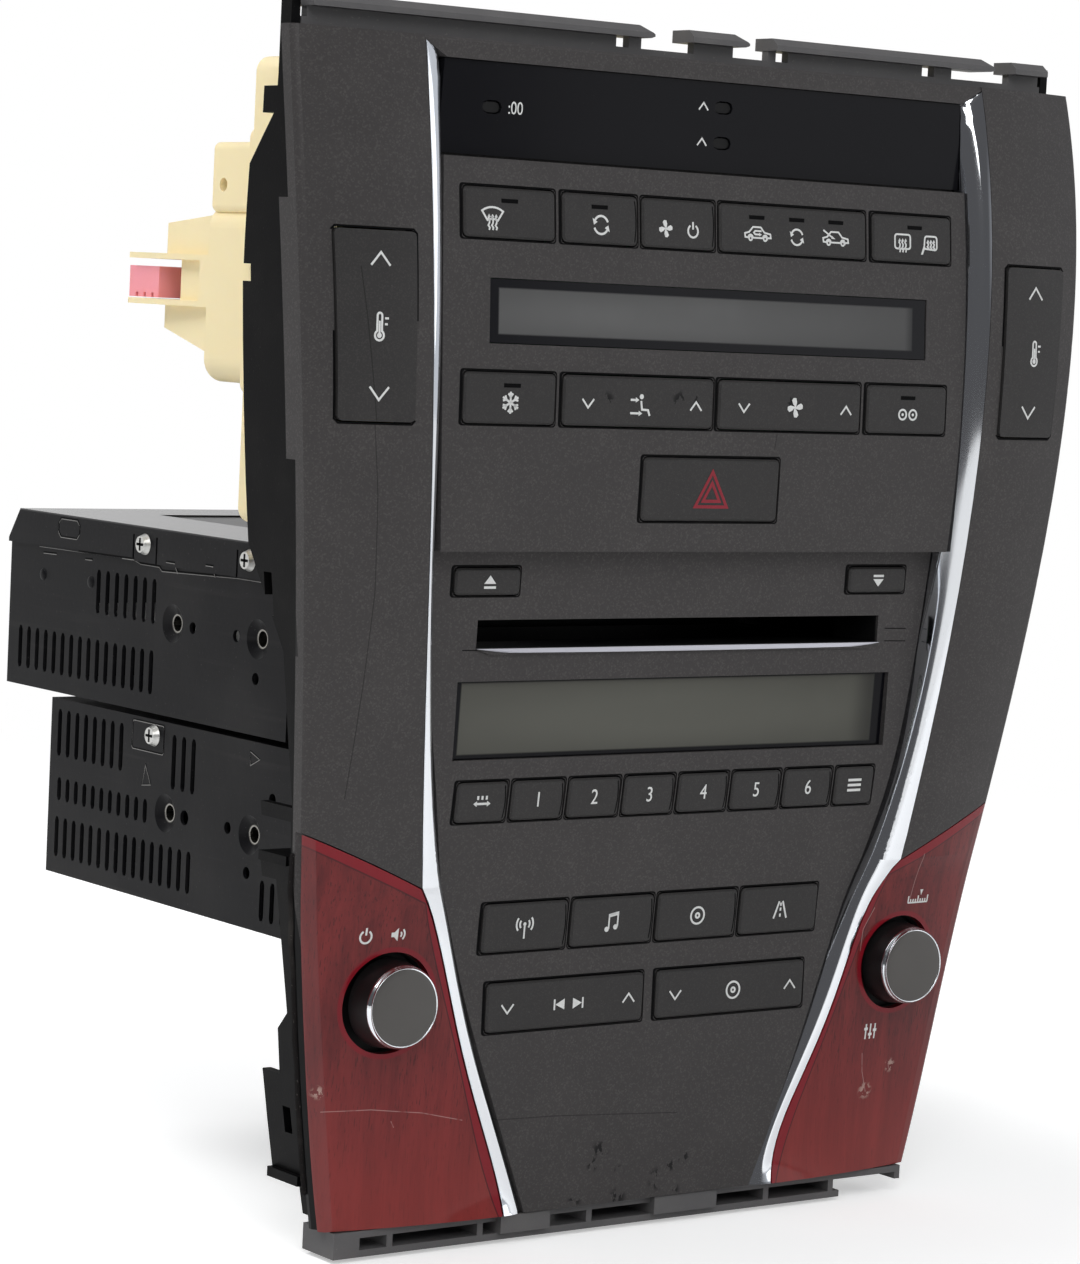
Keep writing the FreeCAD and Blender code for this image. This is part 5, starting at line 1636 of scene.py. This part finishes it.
    def lay_keys(self) -> None:
        """Prints the keys and rockers."""
        for node, marks in self.marks.items():
            self.lay_marks(node + "_signs", marks, node, node, "fascia_paint")
        for number in range(1, 7):
            node = f"preset_key_{number}"
            low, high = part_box(node)
            centre = ((low.x + high.x) / 2 / MM, self.preset_line)
            loops = numeral(str(number), self.figure_height, centre)
            self.printer.lay(node + "_figure", loops, (node,), self.finishes["white_print"], node, "fascia_paint")
        self.printer.lay("hazard_sign", self.hazard.loops(), ("hazard_key",), self.finishes["red_print"],
                         "hazard_key", "fascia_paint")

    def lay_panels(self) -> None:
        """Prints the wood panels and the clock window."""
        for node, marks in self.wood_marks.items():
            self.lay_marks(node + "_signs", marks, node, "chassis", "wood")
        loops = numeral(":00", self.clock_figure_height, self.clock_figures)
        self.printer.lay("clock_figures", loops, ("clock_window",), self.finishes["white_print"], "chassis",
                         "smoked_window")
        self.lay_marks("clock_signs", self.clock_marks, "clock_window", "chassis", "smoked_window")

    def lay_indicators(self) -> None:
        """Sinks the dark indicator slots into the keys' look."""
        repeat = bar_repeat("indicator_bars", self.finishes["shade_and_dark_print"])
        for node, places in self.indicators.items():
            ground = self.printer.ground((node,))
            points = [Vector((x * MM, ground.depth(x * MM, z * MM), z * MM)) for x, z in places]
            made = repeat.run(node + "_lamps", points, [], self.indicator_sizes)
            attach(made, node)

    def lay_rib(self, node: str, place: Tuple[float, float, float]) -> None:
        """Curved painted shade line near the right end of a key that has a neighbour there, at the edge of the rib
        between them.

        Args:
            node: The key.
            place: Its right side, bottom and top in millimetres.
        """
        right, low, high = place
        middle, half = (low + high) / 2, (high - low) / 2 - 0.35
        line = [(right - self.rib_inset + self.rib_bow * (1.0 - (t / 6.0) ** 2), middle + half * t / 6.0)
                for t in range(-6, 7)]
        self.printer.lay(node + "_rib", stroke(line, self.rib_width), (node,), self.finishes["shade_and_dark_print"], node,
                         "fascia_paint")

    def lay_temperature_edges(self) -> None:
        """Painted shade at the edges of the windows of the two temperature rockers."""
        inner_low, outer_low, outer_high, inner_high = self.temperature_window
        gap, cut = self.temperature_gap, self.temperature_cut
        outline = [(inner_low[0] - gap, inner_low[1] - gap), (outer_low[0] + gap, outer_low[1] - gap),
                   (outer_high[0] + gap, outer_high[1] + gap), (inner_high[0] - gap, inner_high[1] + gap)]
        turned: Loop = []
        for i, (x, z) in enumerate(outline):
            for other in (outline[i - 1], outline[(i + 1) % 4]):
                reach = math.hypot(other[0] - x, other[1] - z)
                turned.append((x + cut * (other[0] - x) / reach, z + cut * (other[1] - z) / reach))
        for name, side in (("left", -1.0), ("right", 1.0)):
            line = stretches([(side * x, z) for x, z in turned], self.longest, True)
            self.printer.lay("temperature_edges_" + name, stroke(line, self.temperature_line, True),
                             ("fascia_bezel",), self.finishes["shade_and_dark_print"], "chassis", "fascia_paint")

    def lay_edges(self) -> None:
        """Painted shade at the edges of the windows that the keys stand in, and the short dark lines at the disc slot's
        ends.
        """
        for body, groups in self.windows.items():
            loops: List[Loop] = []
            for group in groups:
                for i, node in enumerate(group):
                    low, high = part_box(node)
                    trim = self.flange[1] if "rocker" in node else self.flange[0]
                    corner = (low.x / MM - self.gap, low.z / MM + trim - self.gap)
                    far = (high.x / MM + self.gap, high.z / MM - trim + self.gap)
                    sides = (self.row_start_line, *self.window_line[1:]) if i == 0 else self.window_line
                    # Painted shade ring round the key's window, widest at the top and at the left of a row's first key.
                    loops += rounded_ring(corner, far, self.window_radius, sides)
                    if i < len(group) - 1:
                        self.lay_rib(node, (high.x / MM, corner[1] + self.gap, far[1] - self.gap))
            self.printer.lay(body + "_window_shade", loops, (body,), self.finishes["shade_and_dark_print"], "chassis",
                             "fascia_paint")
        loops = [loop for line in self.slot_lines for loop in stroke(line, self.slot_line_width)]
        self.printer.lay("slot_end_lines", loops, ("radio_face",), self.finishes["shade_and_dark_print"], "chassis",
                         "fascia_paint")

    def build(self) -> None:
        """Prints everything."""
        self.lay_keys()
        self.lay_panels()
        self.lay_indicators()
        self.lay_edges()
        self.lay_temperature_edges()
        log.info("signs laid")


@dataclass
class Knobs:
    """Knob caps with their bright rings."""

    finishes: Finishes
    cap_radius: float = 0.0098
    cap_inset: float = 0.0005
    dome_lift: float = 0.0001
    dome_height: float = 0.0004
    dome_hole: float = 0.00002
    skirt: float = 0.0006
    ring_section: Tuple[Point, ...] = (  # radius, and depth behind the knob's front
        (0.0096, -0.00012), (0.0099, -0.0003), (0.0098, -0.0002), (0.0103, 0.0003), (0.0105, 0.0009),
        (0.01045, 0.0014), (0.0096, 0.0014))
    turns: int = 64

    def lathe(self, name: str, profile: Sequence[Point], centre: Vector, closed: bool,
              material: bpy.types.Material) -> bpy.types.Object:
        """Turned shape round an axis along Y.

        Args:
            name: The piece's name.
            profile: Radius and depth of each ring of points.
            centre: Centre of the knob.
            closed: Whether the profile returns to its start.
            material: The finish.

        Returns:
            The new object.
        """
        points: List[Vector] = []
        faces: List[List[int]] = []
        rings = len(profile)
        for radius, depth in profile:
            for i in range(self.turns):
                angle = 2 * math.pi * i / self.turns
                points.append(Vector((centre.x + radius * math.cos(angle), depth, centre.z + radius * math.sin(angle))))
        spans = rings if closed else rings - 1
        for r in range(spans):
            for i in range(self.turns):
                j = (i + 1) % self.turns
                a, b = r * self.turns, ((r + 1) % rings) * self.turns
                faces.append([a + i, b + i, b + j, a + j])
        if not closed:
            faces.append(list(reversed(range(self.turns))))
            faces.append([(rings - 1) * self.turns + i for i in range(self.turns)])
        return piece_from(name, points, faces, material, True)

    def build(self) -> None:
        """Adds a ring and a cap to both knobs."""
        for side in ("volume", "tuner"):
            node = side + "_knob"
            low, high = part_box(node)
            centre = Vector(((low.x + high.x) / 2, 0.0, (low.z + high.z) / 2))
            front = low.y + self.cap_inset
            section = [(radius, front + depth) for radius, depth in self.ring_section]
            ring = self.lathe(side + "_ring", section, centre, True, self.finishes["chrome"])
            dome = [(self.cap_radius * math.cos(math.radians(a)),
                     front - self.dome_lift - self.dome_height * math.sin(math.radians(a))) for a in range(0, 91, 15)]
            dome[-1] = (self.dome_hole, dome[-1][1])
            cap = self.lathe(side + "_cap", [(self.cap_radius, front + self.skirt)] + dome, centre, False,
                             self.finishes["knob_cap"])
            for made in (ring, cap):
                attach(made, node)
        log.info("knobs finished")


@dataclass
class ChromeStrips:
    """Plating over both chrome strips, each in one even grid, so that it mirrors in one sweep."""

    printer: Printer
    finishes: Finishes
    crease: float = 42.0
    inner: float = 0.035
    outer: float = 0.095
    step: float = 0.00005
    least_forward: float = 0.12
    end_gap: float = 0.0006
    row_height: float = 0.002
    columns: int = 20
    proud: float = 0.00006
    proud_inward: float = 0.7
    thickness: float = 0.0003
    passes: int = 3
    even: Tuple[int, ...] = (-21, 14, 39, 54, 59, 54, 39, 14, -21)

    def across(self, tree: BVHTree, side: float, z: float) -> List[Vector]:
        """Finds evenly spaced points over a strip's front at one height.

        Args:
            tree: The strip's shape.
            side: -1 for the left strip, 1 for the right one.
            z: The height.

        Returns:
            The points from the inner edge to the outer one, or none where the strip doesn't reach.
        """
        runs: List[List[Vector]] = [[]]
        for i in range(int((self.outer - self.inner) / self.step)):
            start = Vector((side * (self.inner + i * self.step), -BEFORE, z))
            hit, facing, _, _ = tree.ray_cast(start, Vector((0.0, 1.0, 0.0)))
            if hit is not None and facing.y < -self.least_forward:
                runs[-1].append(hit)
            elif runs[-1]:
                runs.append([])
        run = max(runs, key=len)
        if len(run) < self.columns:
            return []
        run = run[1:-2]  # clear of the strip's two edges
        reach = [0.0]
        for first, second in zip(run, run[1:]):
            reach.append(reach[-1] + (second - first).length)
        points = []
        k = 0
        for column in range(self.columns + 1):
            wanted = reach[-1] * column / self.columns
            while k < len(run) - 2 and reach[k + 1] < wanted:
                k += 1
            share = (wanted - reach[k]) / max(1e-9, reach[k + 1] - reach[k])
            points.append(run[k].lerp(run[k + 1], share))
        return points

    def evened(self, levels: List[List[Vector]]) -> List[List[Vector]]:
        """Takes the facets out of a grid, with weights that keep its curve along it.

        Args:
            levels: Rows of points, from the bottom up.

        Returns:
            The same rows, evened along and across.
        """
        reach = len(self.even) // 2
        along = []
        for i, level in enumerate(levels):
            if reach <= i < len(levels) - reach:
                near = levels[i - reach:i + reach + 1]
                level = [sum((weight * row[j] for weight, row in zip(self.even, near)), Vector()) / sum(self.even)
                         for j in range(len(level))]
            along.append(level)
        return [[row[0]] + [(row[j - 1] + row[j] * 2 + row[j + 1]) / 4 for j in range(1, len(row) - 1)] + [row[-1]]
                for row in along]

    def slab(self, front: List[Vector], wide: int) -> Tuple[List[Vector], List[List[int]]]:
        """Closes a grid to a thin slab.

        Args:
            front: The grid's points, row by row.
            wide: Points in a row.

        Returns:
            The slab's points and faces.
        """
        tall = len(front) // wide
        back = [point + Vector((0.0, self.thickness, 0.0)) for point in front]
        faces = []
        for i in range(tall - 1):
            for j in range(wide - 1):
                k = i * wide + j
                faces.append([k, k + 1, k + wide + 1, k + wide])
                faces.append([len(front) + n for n in (k, k + wide, k + wide + 1, k + 1)])
        rim = list(range(wide)) + [i * wide + wide - 1 for i in range(1, tall)]
        rim += [(tall - 1) * wide + j for j in range(wide - 2, -1, -1)]
        rim += [i * wide for i in range(tall - 2, 0, -1)]
        for first, second in zip(rim, rim[1:] + rim[:1]):
            faces.append([first, second, len(front) + second, len(front) + first])
        return front + back, faces

    def build(self) -> None:
        """Lays the plating over both strips."""
        for side, node in ((-1.0, "chrome_strip_left"), (1.0, "chrome_strip_right")):
            heights = [v.co.z for v in self.printer.nodes[node].data.vertices]
            low, high = min(heights) + self.end_gap, max(heights) - self.end_gap
            tree = self.printer.ground((node,)).tree
            count = int((high - low) / self.row_height)
            levels = [self.across(tree, side, low + (high - low) * i / count) for i in range(count + 1)]
            levels = [level for level in levels if level]
            for _ in range(self.passes):
                levels = self.evened(levels)
            shift = Vector((-side * self.proud * self.proud_inward, -self.proud, 0.0))
            front = [point + shift for level in levels for point in level]
            points, faces = self.slab(front, self.columns + 1)
            made = piece_from(node + "_plating", points, faces, self.finishes["chrome"], smooth=True)
            made.data.set_sharp_from_angle(angle=math.radians(self.crease))
            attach(made, "chassis")
        log.info("strips plated")


@dataclass
class SlotLip:
    """Bright lip under the disc slot, deeper in the middle.

    The outline's sizes are in millimetres, and those along the depth in metres.
    """

    printer: Printer
    finishes: Finishes
    half: float = 66.2
    top: float = 28.75
    deep: float = 1.25
    sag: float = 0.35
    fade: float = 9.0
    fade_power: float = 0.7
    least: float = 0.05
    rounding: float = 0.6
    ease: float = 4.0
    cuts: int = 40
    seat: float = 0.0279
    proud: float = 0.00015
    bulge: float = 0.0003
    thickness: float = 0.0012

    def build(self) -> None:
        """Makes the lip."""
        half, top = self.half, self.top
        lower = []
        for i in range(self.cuts + 1):
            x = half - 2 * half * (i / self.cuts)
            fade = min(1.0, (half - abs(x)) / self.fade) ** self.fade_power
            sag = self.sag * (1 - (x / half) ** 2)
            lower.append((x, top - max(self.least, fade * (self.deep - self.sag + sag))))
        outline = [(-half, top)] + lower[::-1] + [(half, top)]
        base = self.printer.ground(("radio_face",)).depth(0.0, self.seat) - self.proud
        points: List[Vector] = []
        for x, z in outline:
            bulge = self.bulge * min(1.0, (top - z) / self.rounding) * min(1.0, (half - abs(x)) / self.ease)
            points.append(Vector((x * MM, base - bulge, z * MM)))
        count = len(points)
        back = [Vector((p.x, base + self.thickness, p.z)) for p in points]
        faces = [list(range(count)), list(reversed(range(count, 2 * count)))]
        for i in range(count):
            j = (i + 1) % count
            faces.append([j, i, count + i, count + j])
        made = piece_from("slot_lip_trim", points + back, faces, self.finishes["lip_metal"])
        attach(made, "chassis")
        log.info("slot lip added")


@dataclass
class WoodFoam:
    """Black foam strip behind the outer edge of each wood panel."""

    printer: Printer
    finishes: Finishes
    step: float = 0.008
    back: float = 0.0042
    inset: float = 0.0002
    sizes: Dict[str, float] = field(default_factory=lambda: {"Width": 0.0011, "Thickness": 0.0024})

    def build(self) -> None:
        """Runs a strip along both panels."""
        repeat = path_repeat("edge_foam_strip", self.finishes["foam"])
        for side, node in ((-1.0, "wood_panel_left"), (1.0, "wood_panel_right")):
            mesh = self.printer.nodes[node].data
            best: Dict[int, Vector] = {}
            for vertex in mesh.vertices:
                level = round(vertex.co.z / self.step)
                if level not in best or side * vertex.co.x > side * best[level].x:
                    best[level] = vertex.co.copy()
            chain = [best[k] for k in sorted(best)][1:-1]
            points = [Vector((p.x - side * self.inset, p.y + self.back, p.z)) for p in chain]
            edges = [(i, i + 1) for i in range(len(points) - 1)]
            made = repeat.run(node + "_foam", points, edges, self.sizes)
            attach(made, "chassis")
        log.info("foam strips added")


@dataclass
class CaseFittings:
    """Rivets, the screw heads' cross recesses drawn as painted shade, and pressed lines drawn as painted shade lines
    with painted highlights, on the case sides.

    Sizes are in metres, and those of the pressed lines in millimetres, as Y and Z.
    """

    printer: Printer
    finishes: Finishes
    side: float = 0.090
    # Painted shade lines with their widths: the shut line, where the dark line is partly the real joint of cover and
    # case and partly painted shade, and the pressed shapes.
    shut_line: Tuple[Point, ...] = ((176.0, 40.3), (122.8, 40.9), (120.7, 39.9), (111.1, 39.9), (109.7, 38.9),
                                    (71.5, 40.3), (57.8, 40.3))
    shut_width: float = 0.5
    upper_presses: Tuple[Tuple[Point, ...], ...] = (
        ((106.1, 41.6), (101.9, 41.6), (101.6, 38.9)), ((86.2, 42.4), (82.6, 42.4), (82.9, 39.5)),
        ((173.6, 38.6), (166.4, 38.8)), ((150.4, 38.7), (146.6, 38.8)))
    press_width: float = 0.45
    button: Tuple[Point, Point] = ((152.4, 43.9), (164.0, 49.0))
    button_cut: float = 1.4
    button_width: float = 0.4
    plate: Tuple[Point, Point] = ((105.2, -10.0), (121.6, -2.3))
    plate_cut: float = 0.5
    plate_width: float = 0.35
    triangles: Tuple[Tuple[Point, ...], ...] = (((62.2, -3.8), (57.6, -5.4), (61.9, -7.4)),
                                                ((115.6, -19.4), (114.1, -13.8), (111.1, -18.8)))
    triangle_width: float = 0.22
    longest: float = 6.0
    # Painted highlight under each dark line.
    glint_width: float = 0.2
    glint_drop: float = 0.12
    rivet_radius: float = 0.0017
    rivets: Tuple[Point, ...] = ((0.1734, 0.0324), (0.147, 0.0325), (0.0536, 0.0445))
    cover_screws: Tuple[Point, ...] = ((0.1174, 0.0452), (0.065, 0.0452))
    cover_head: float = 0.00262
    lower_screw: Point = (0.1104, -0.0056)
    lower_head: float = 0.00162
    # Sizes of the painted shade bars in each screw head's recess.
    recess_long: float = 0.0034
    recess_narrow: float = 0.0007
    recess_depth: float = 0.0001

    def press(self, name: str, lines: Sequence[Tuple[Tuple[Point, ...], bool, float]], on: Tuple[str, ...]) -> None:
        """Painted shade line with a painted highlight along its lower edge for each pressed shape.

        Args:
            name: The piece's name.
            lines: Points in millimetres as Y and Z, whether they close, and the dark line's width.
            on: CAD nodes that carry them.
        """
        dark: List[Loop] = []
        bright: List[Loop] = []
        for points, closed, width in lines:
            fine = stretches(points, self.longest, closed)
            dark += stroke(fine, width, closed)
            bright += moved(stroke(fine, self.glint_width, closed), 0.0, -width / 2 - self.glint_drop)
        # Painted shade in the dark ink, painted highlight in the glint ink.
        for part, loops, ink in (("dark", dark, "shade_and_dark_print"), ("edge", bright, "edge_glint")):
            self.printer.lay(f"{name}_{part}", loops, on, self.finishes[ink], "chassis", "black_sheet", Facing.LEFT)

    def press_lines(self) -> None:
        """Painted shade lines and painted highlights for the shapes pressed into the left sides of both cases."""
        def box_line(box: Tuple[Point, Point], cut: float) -> Tuple[Point, ...]:
            """Rectangle with cut corners.

            Args:
                box: Lower and upper corner.
                cut: Length cut off at each corner.

            Returns:
                The outline's corners.
            """
            (a, c), (b, d) = box
            return ((a + cut, c), (b - cut, c), (b, c + cut), (b, d - cut), (b - cut, d), (a + cut, d), (a, d - cut),
                    (a, c + cut))

        upper = [(self.shut_line, False, self.shut_width), (box_line(self.button, self.button_cut), True,
                                                            self.button_width)]
        upper += [(points, False, self.press_width) for points in self.upper_presses]
        self.press("changer_press", upper, ("changer_cover", "changer_case"))
        lower = [(box_line(self.plate, self.plate_cut), True, self.plate_width)]
        lower += [(points, True, self.triangle_width) for points in self.triangles]
        self.press("tuner_press", lower, ("tuner_case",))

    def build(self) -> None:
        """Adds what repeats on the case sides."""
        self.press_lines()
        rivets = dome_repeat("case_rivets", self.finishes["changer_sheet"])
        points = [Vector((s * self.side, y, z)) for s in (-1.0, 1.0) for y, z in self.rivets]
        made = rivets.run("case_rivets", points, [], {"Radius": self.rivet_radius})
        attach(made, "chassis")
        # Dark bars in a cross on each screw head: painted shade in its recess.
        spots = [Vector((s * (self.side + self.cover_head), *place)) for s in (-1.0, 1.0)
                 for place in self.cover_screws]
        spots += [Vector((s * (self.side + self.lower_head), *self.lower_screw)) for s in (-1.0, 1.0)]
        for part, wide, tall in (("across", self.recess_long, self.recess_narrow),
                                 ("down", self.recess_narrow, self.recess_long)):
            bars = bar_repeat("screw_recess_shade_" + part, self.finishes["shade_and_dark_print"])
            made = bars.run("screw_recess_shade_" + part, spots, [],
                            {"Length": self.recess_depth, "Depth": wide, "Height": tall})
            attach(made, "chassis")
        log.info("case fittings added")


@dataclass(frozen=True)
class Lamp:
    """One soft rectangular lamp."""

    name: str
    place: Tuple[float, float, float]
    size: Tuple[float, float]
    power: float

    def build(self, aim: Vector) -> None:
        """Hangs the lamp.

        Args:
            aim: Point that it shines at.
        """
        data = bpy.data.lights.new(self.name, "AREA")
        data.shape = "RECTANGLE"
        data.size, data.size_y = self.size
        data.energy = self.power
        made = placed(self.name, data)
        made.location = self.place
        made.rotation_mode = "QUATERNION"
        made.rotation_quaternion = (aim - Vector(self.place)).to_track_quat("-Z", "Y")


@dataclass(frozen=True)
class Studio:
    """Floor, lamps, pale surroundings and the camera."""

    camera_place: Tuple[float, float, float] = (-0.6363, -0.7930, 0.1168)
    yaw: float = -36.70
    rise: float = 4.87
    roll: float = 2.80
    sensor: float = 36.0
    focal_pixels: float = 3949.0
    frame_height: float = 1264.0
    clip: Tuple[float, float] = (0.05, 50.0)
    lamps: Tuple[Lamp, ...] = (Lamp("key_light", (-0.9, -1.5, 1.3), (1.2, 1.2), 18.5),
                               Lamp("fill_light", (1.4, -1.2, 0.6), (1.0, 1.4), 5.0),
                               Lamp("back_light", (-1.1, 0.7, 1.7), (1.0, 1.0), 20.0))
    aim: Tuple[float, float, float] = (0.0, 0.03, 0.03)
    floor_level: float = -0.1262
    floor_reach: float = 6.0
    floor_colour: Colour = (0.90, 0.90, 0.90)
    floor_patches: Colour = (0.86, 0.86, 0.86)
    floor_lift: float = 0.42
    floor_edge: Tuple[float, float] = (0.55, 1.1)
    room: Colour = (0.10, 0.10, 0.105)
    behind: Tuple[float, float] = (0.6, 1.0)
    overhead: Tuple[float, float] = (0.45, 0.8)
    overhead_share: float = 0.55
    side_way: Tuple[float, float, float] = (0.94, -0.34, 0.0)
    side_edge: Tuple[float, float] = (0.62, 0.92)
    side_light: Colour = (0.66, 0.68, 0.72)
    fill: float = 0.38
    fill_colour: Colour = (0.97, 0.98, 1.0)

    def camera(self) -> None:
        """Sets the camera where the photograph was taken from."""
        a, e, r = (math.radians(v) for v in (self.yaw, self.rise, self.roll))
        back = Vector((math.sin(a) * math.cos(e), -math.cos(a) * math.cos(e), math.sin(e)))
        right = (-back).cross(Vector((0.0, 0.0, 1.0))).normalized()
        up = right.cross(-back)
        x_axis = right * math.cos(r) + up * math.sin(r)
        y_axis = up * math.cos(r) - right * math.sin(r)
        turn = Matrix((x_axis, y_axis, back)).transposed()
        data = bpy.data.cameras.new("camera")
        data.sensor_width = self.sensor
        data.lens = self.sensor * self.focal_pixels / self.frame_height
        data.clip_start, data.clip_end = self.clip
        made = placed("camera", data)
        made.matrix_world = Matrix.Translation(Vector(self.camera_place)) @ turn.to_4x4()
        bpy.context.scene.camera = made

    def world(self) -> None:
        """White surroundings for the eye, in gloss white behind the object, pale to its right and dim elsewhere."""
        world = bpy.data.worlds.new("studio")
        bpy.context.scene.world = world
        tree = Tree(world, "Generated")
        paths = tree.node("ShaderNodeLightPath", {}, {}).outputs
        seen = Wire(tree, paths["Is Camera Ray"]).most(Wire(tree, paths["Is Transmission Ray"]))
        pale = tree.y.rise(*self.behind).most(tree.z.rise(*self.overhead) * self.overhead_share)
        tone = tree.blend(pale, self.room, WHITE)
        toward = tree.node("ShaderNodeVectorMath", {"operation": "DOT_PRODUCT"}, {0: tree.place, 1: self.side_way})
        beside = Wire(tree, toward.outputs["Value"]).rise(*self.side_edge)
        tone = tree.blend(beside, tone, self.side_light)
        fill = tree.node("ShaderNodeBackground", {}, {0: self.fill_colour, 1: self.fill})
        gloss = tree.node("ShaderNodeBackground", {}, {0: tone, 1: 1.0})
        shown = tree.node("ShaderNodeBackground", {}, {0: WHITE, 1: 1.0})
        unseen = tree.node("ShaderNodeMixShader", {}, {0: paths["Is Glossy Ray"], 1: fill.outputs[0],
                                                       2: gloss.outputs[0]})
        both = tree.node("ShaderNodeMixShader", {}, {0: seen, 1: unseen.outputs[0], 2: shown.outputs[0]})
        tree.node("ShaderNodeOutputWorld", {}, {0: both.outputs[0]})

    def floor(self) -> None:
        """Plain pale floor that turns to even white away from the object."""
        tree = Tree(bpy.data.materials.new("floor"))
        colour = tree.blend(tree.noise(30.0, 2.0) * 0.1, self.floor_colour, self.floor_patches)
        paths = tree.node("ShaderNodeLightPath", {}, {}).outputs
        seen = Wire(tree, paths["Is Camera Ray"]).most(Wire(tree, paths["Is Glossy Ray"]))
        seen = seen.most(Wire(tree, paths["Is Transmission Ray"]))
        diffuse = tree.node("ShaderNodeBsdfDiffuse", {}, {0: colour})
        lift = tree.node("ShaderNodeEmission", {}, {0: WHITE, 1: seen * self.floor_lift})
        near = tree.node("ShaderNodeAddShader", {}, {0: diffuse.outputs[0], 1: lift.outputs[0]})
        far = tree.node("ShaderNodeEmission", {}, {0: WHITE, 1: 1.0})
        away = (tree.x * tree.x + tree.y * tree.y).root().rise(*self.floor_edge)
        both = tree.node("ShaderNodeMixShader", {}, {0: away * seen, 1: near.outputs[0], 2: far.outputs[0]})
        tree.node("ShaderNodeOutputMaterial", {}, {0: both.outputs[0]})
        reach = self.floor_reach
        spots = [Vector((x, y, self.floor_level)) for x, y in ((-reach, -reach), (reach, -reach), (reach, reach),
                                                               (-reach, reach))]
        made = piece_from("floor", spots, [[0, 1, 2, 3]], tree.owner)

    def build(self) -> None:
        """Sets up the whole studio."""
        self.camera()
        self.world()
        self.floor()
        for lamp in self.lamps:
            lamp.build(Vector(self.aim))
        bpy.context.scene.view_settings.view_transform = "Standard"
        log.info("studio set")


def main() -> None:
    """Builds the dressed object."""
    logging.basicConfig(level=logging.INFO, format="%(name)s: %(message)s")
    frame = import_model()
    finishes = Finishes()
    finishes.build()
    Housing(frame, finishes).dress()
    printer = Printer(frame["nodes"])
    Signs(printer, finishes).build()
    Knobs(finishes).build()
    ChromeStrips(printer, finishes).build()
    SlotLip(printer, finishes).build()
    WoodFoam(printer, finishes).build()
    CaseFittings(printer, finishes).build()
    Studio().build()


if __name__ == "__main__":
    main()
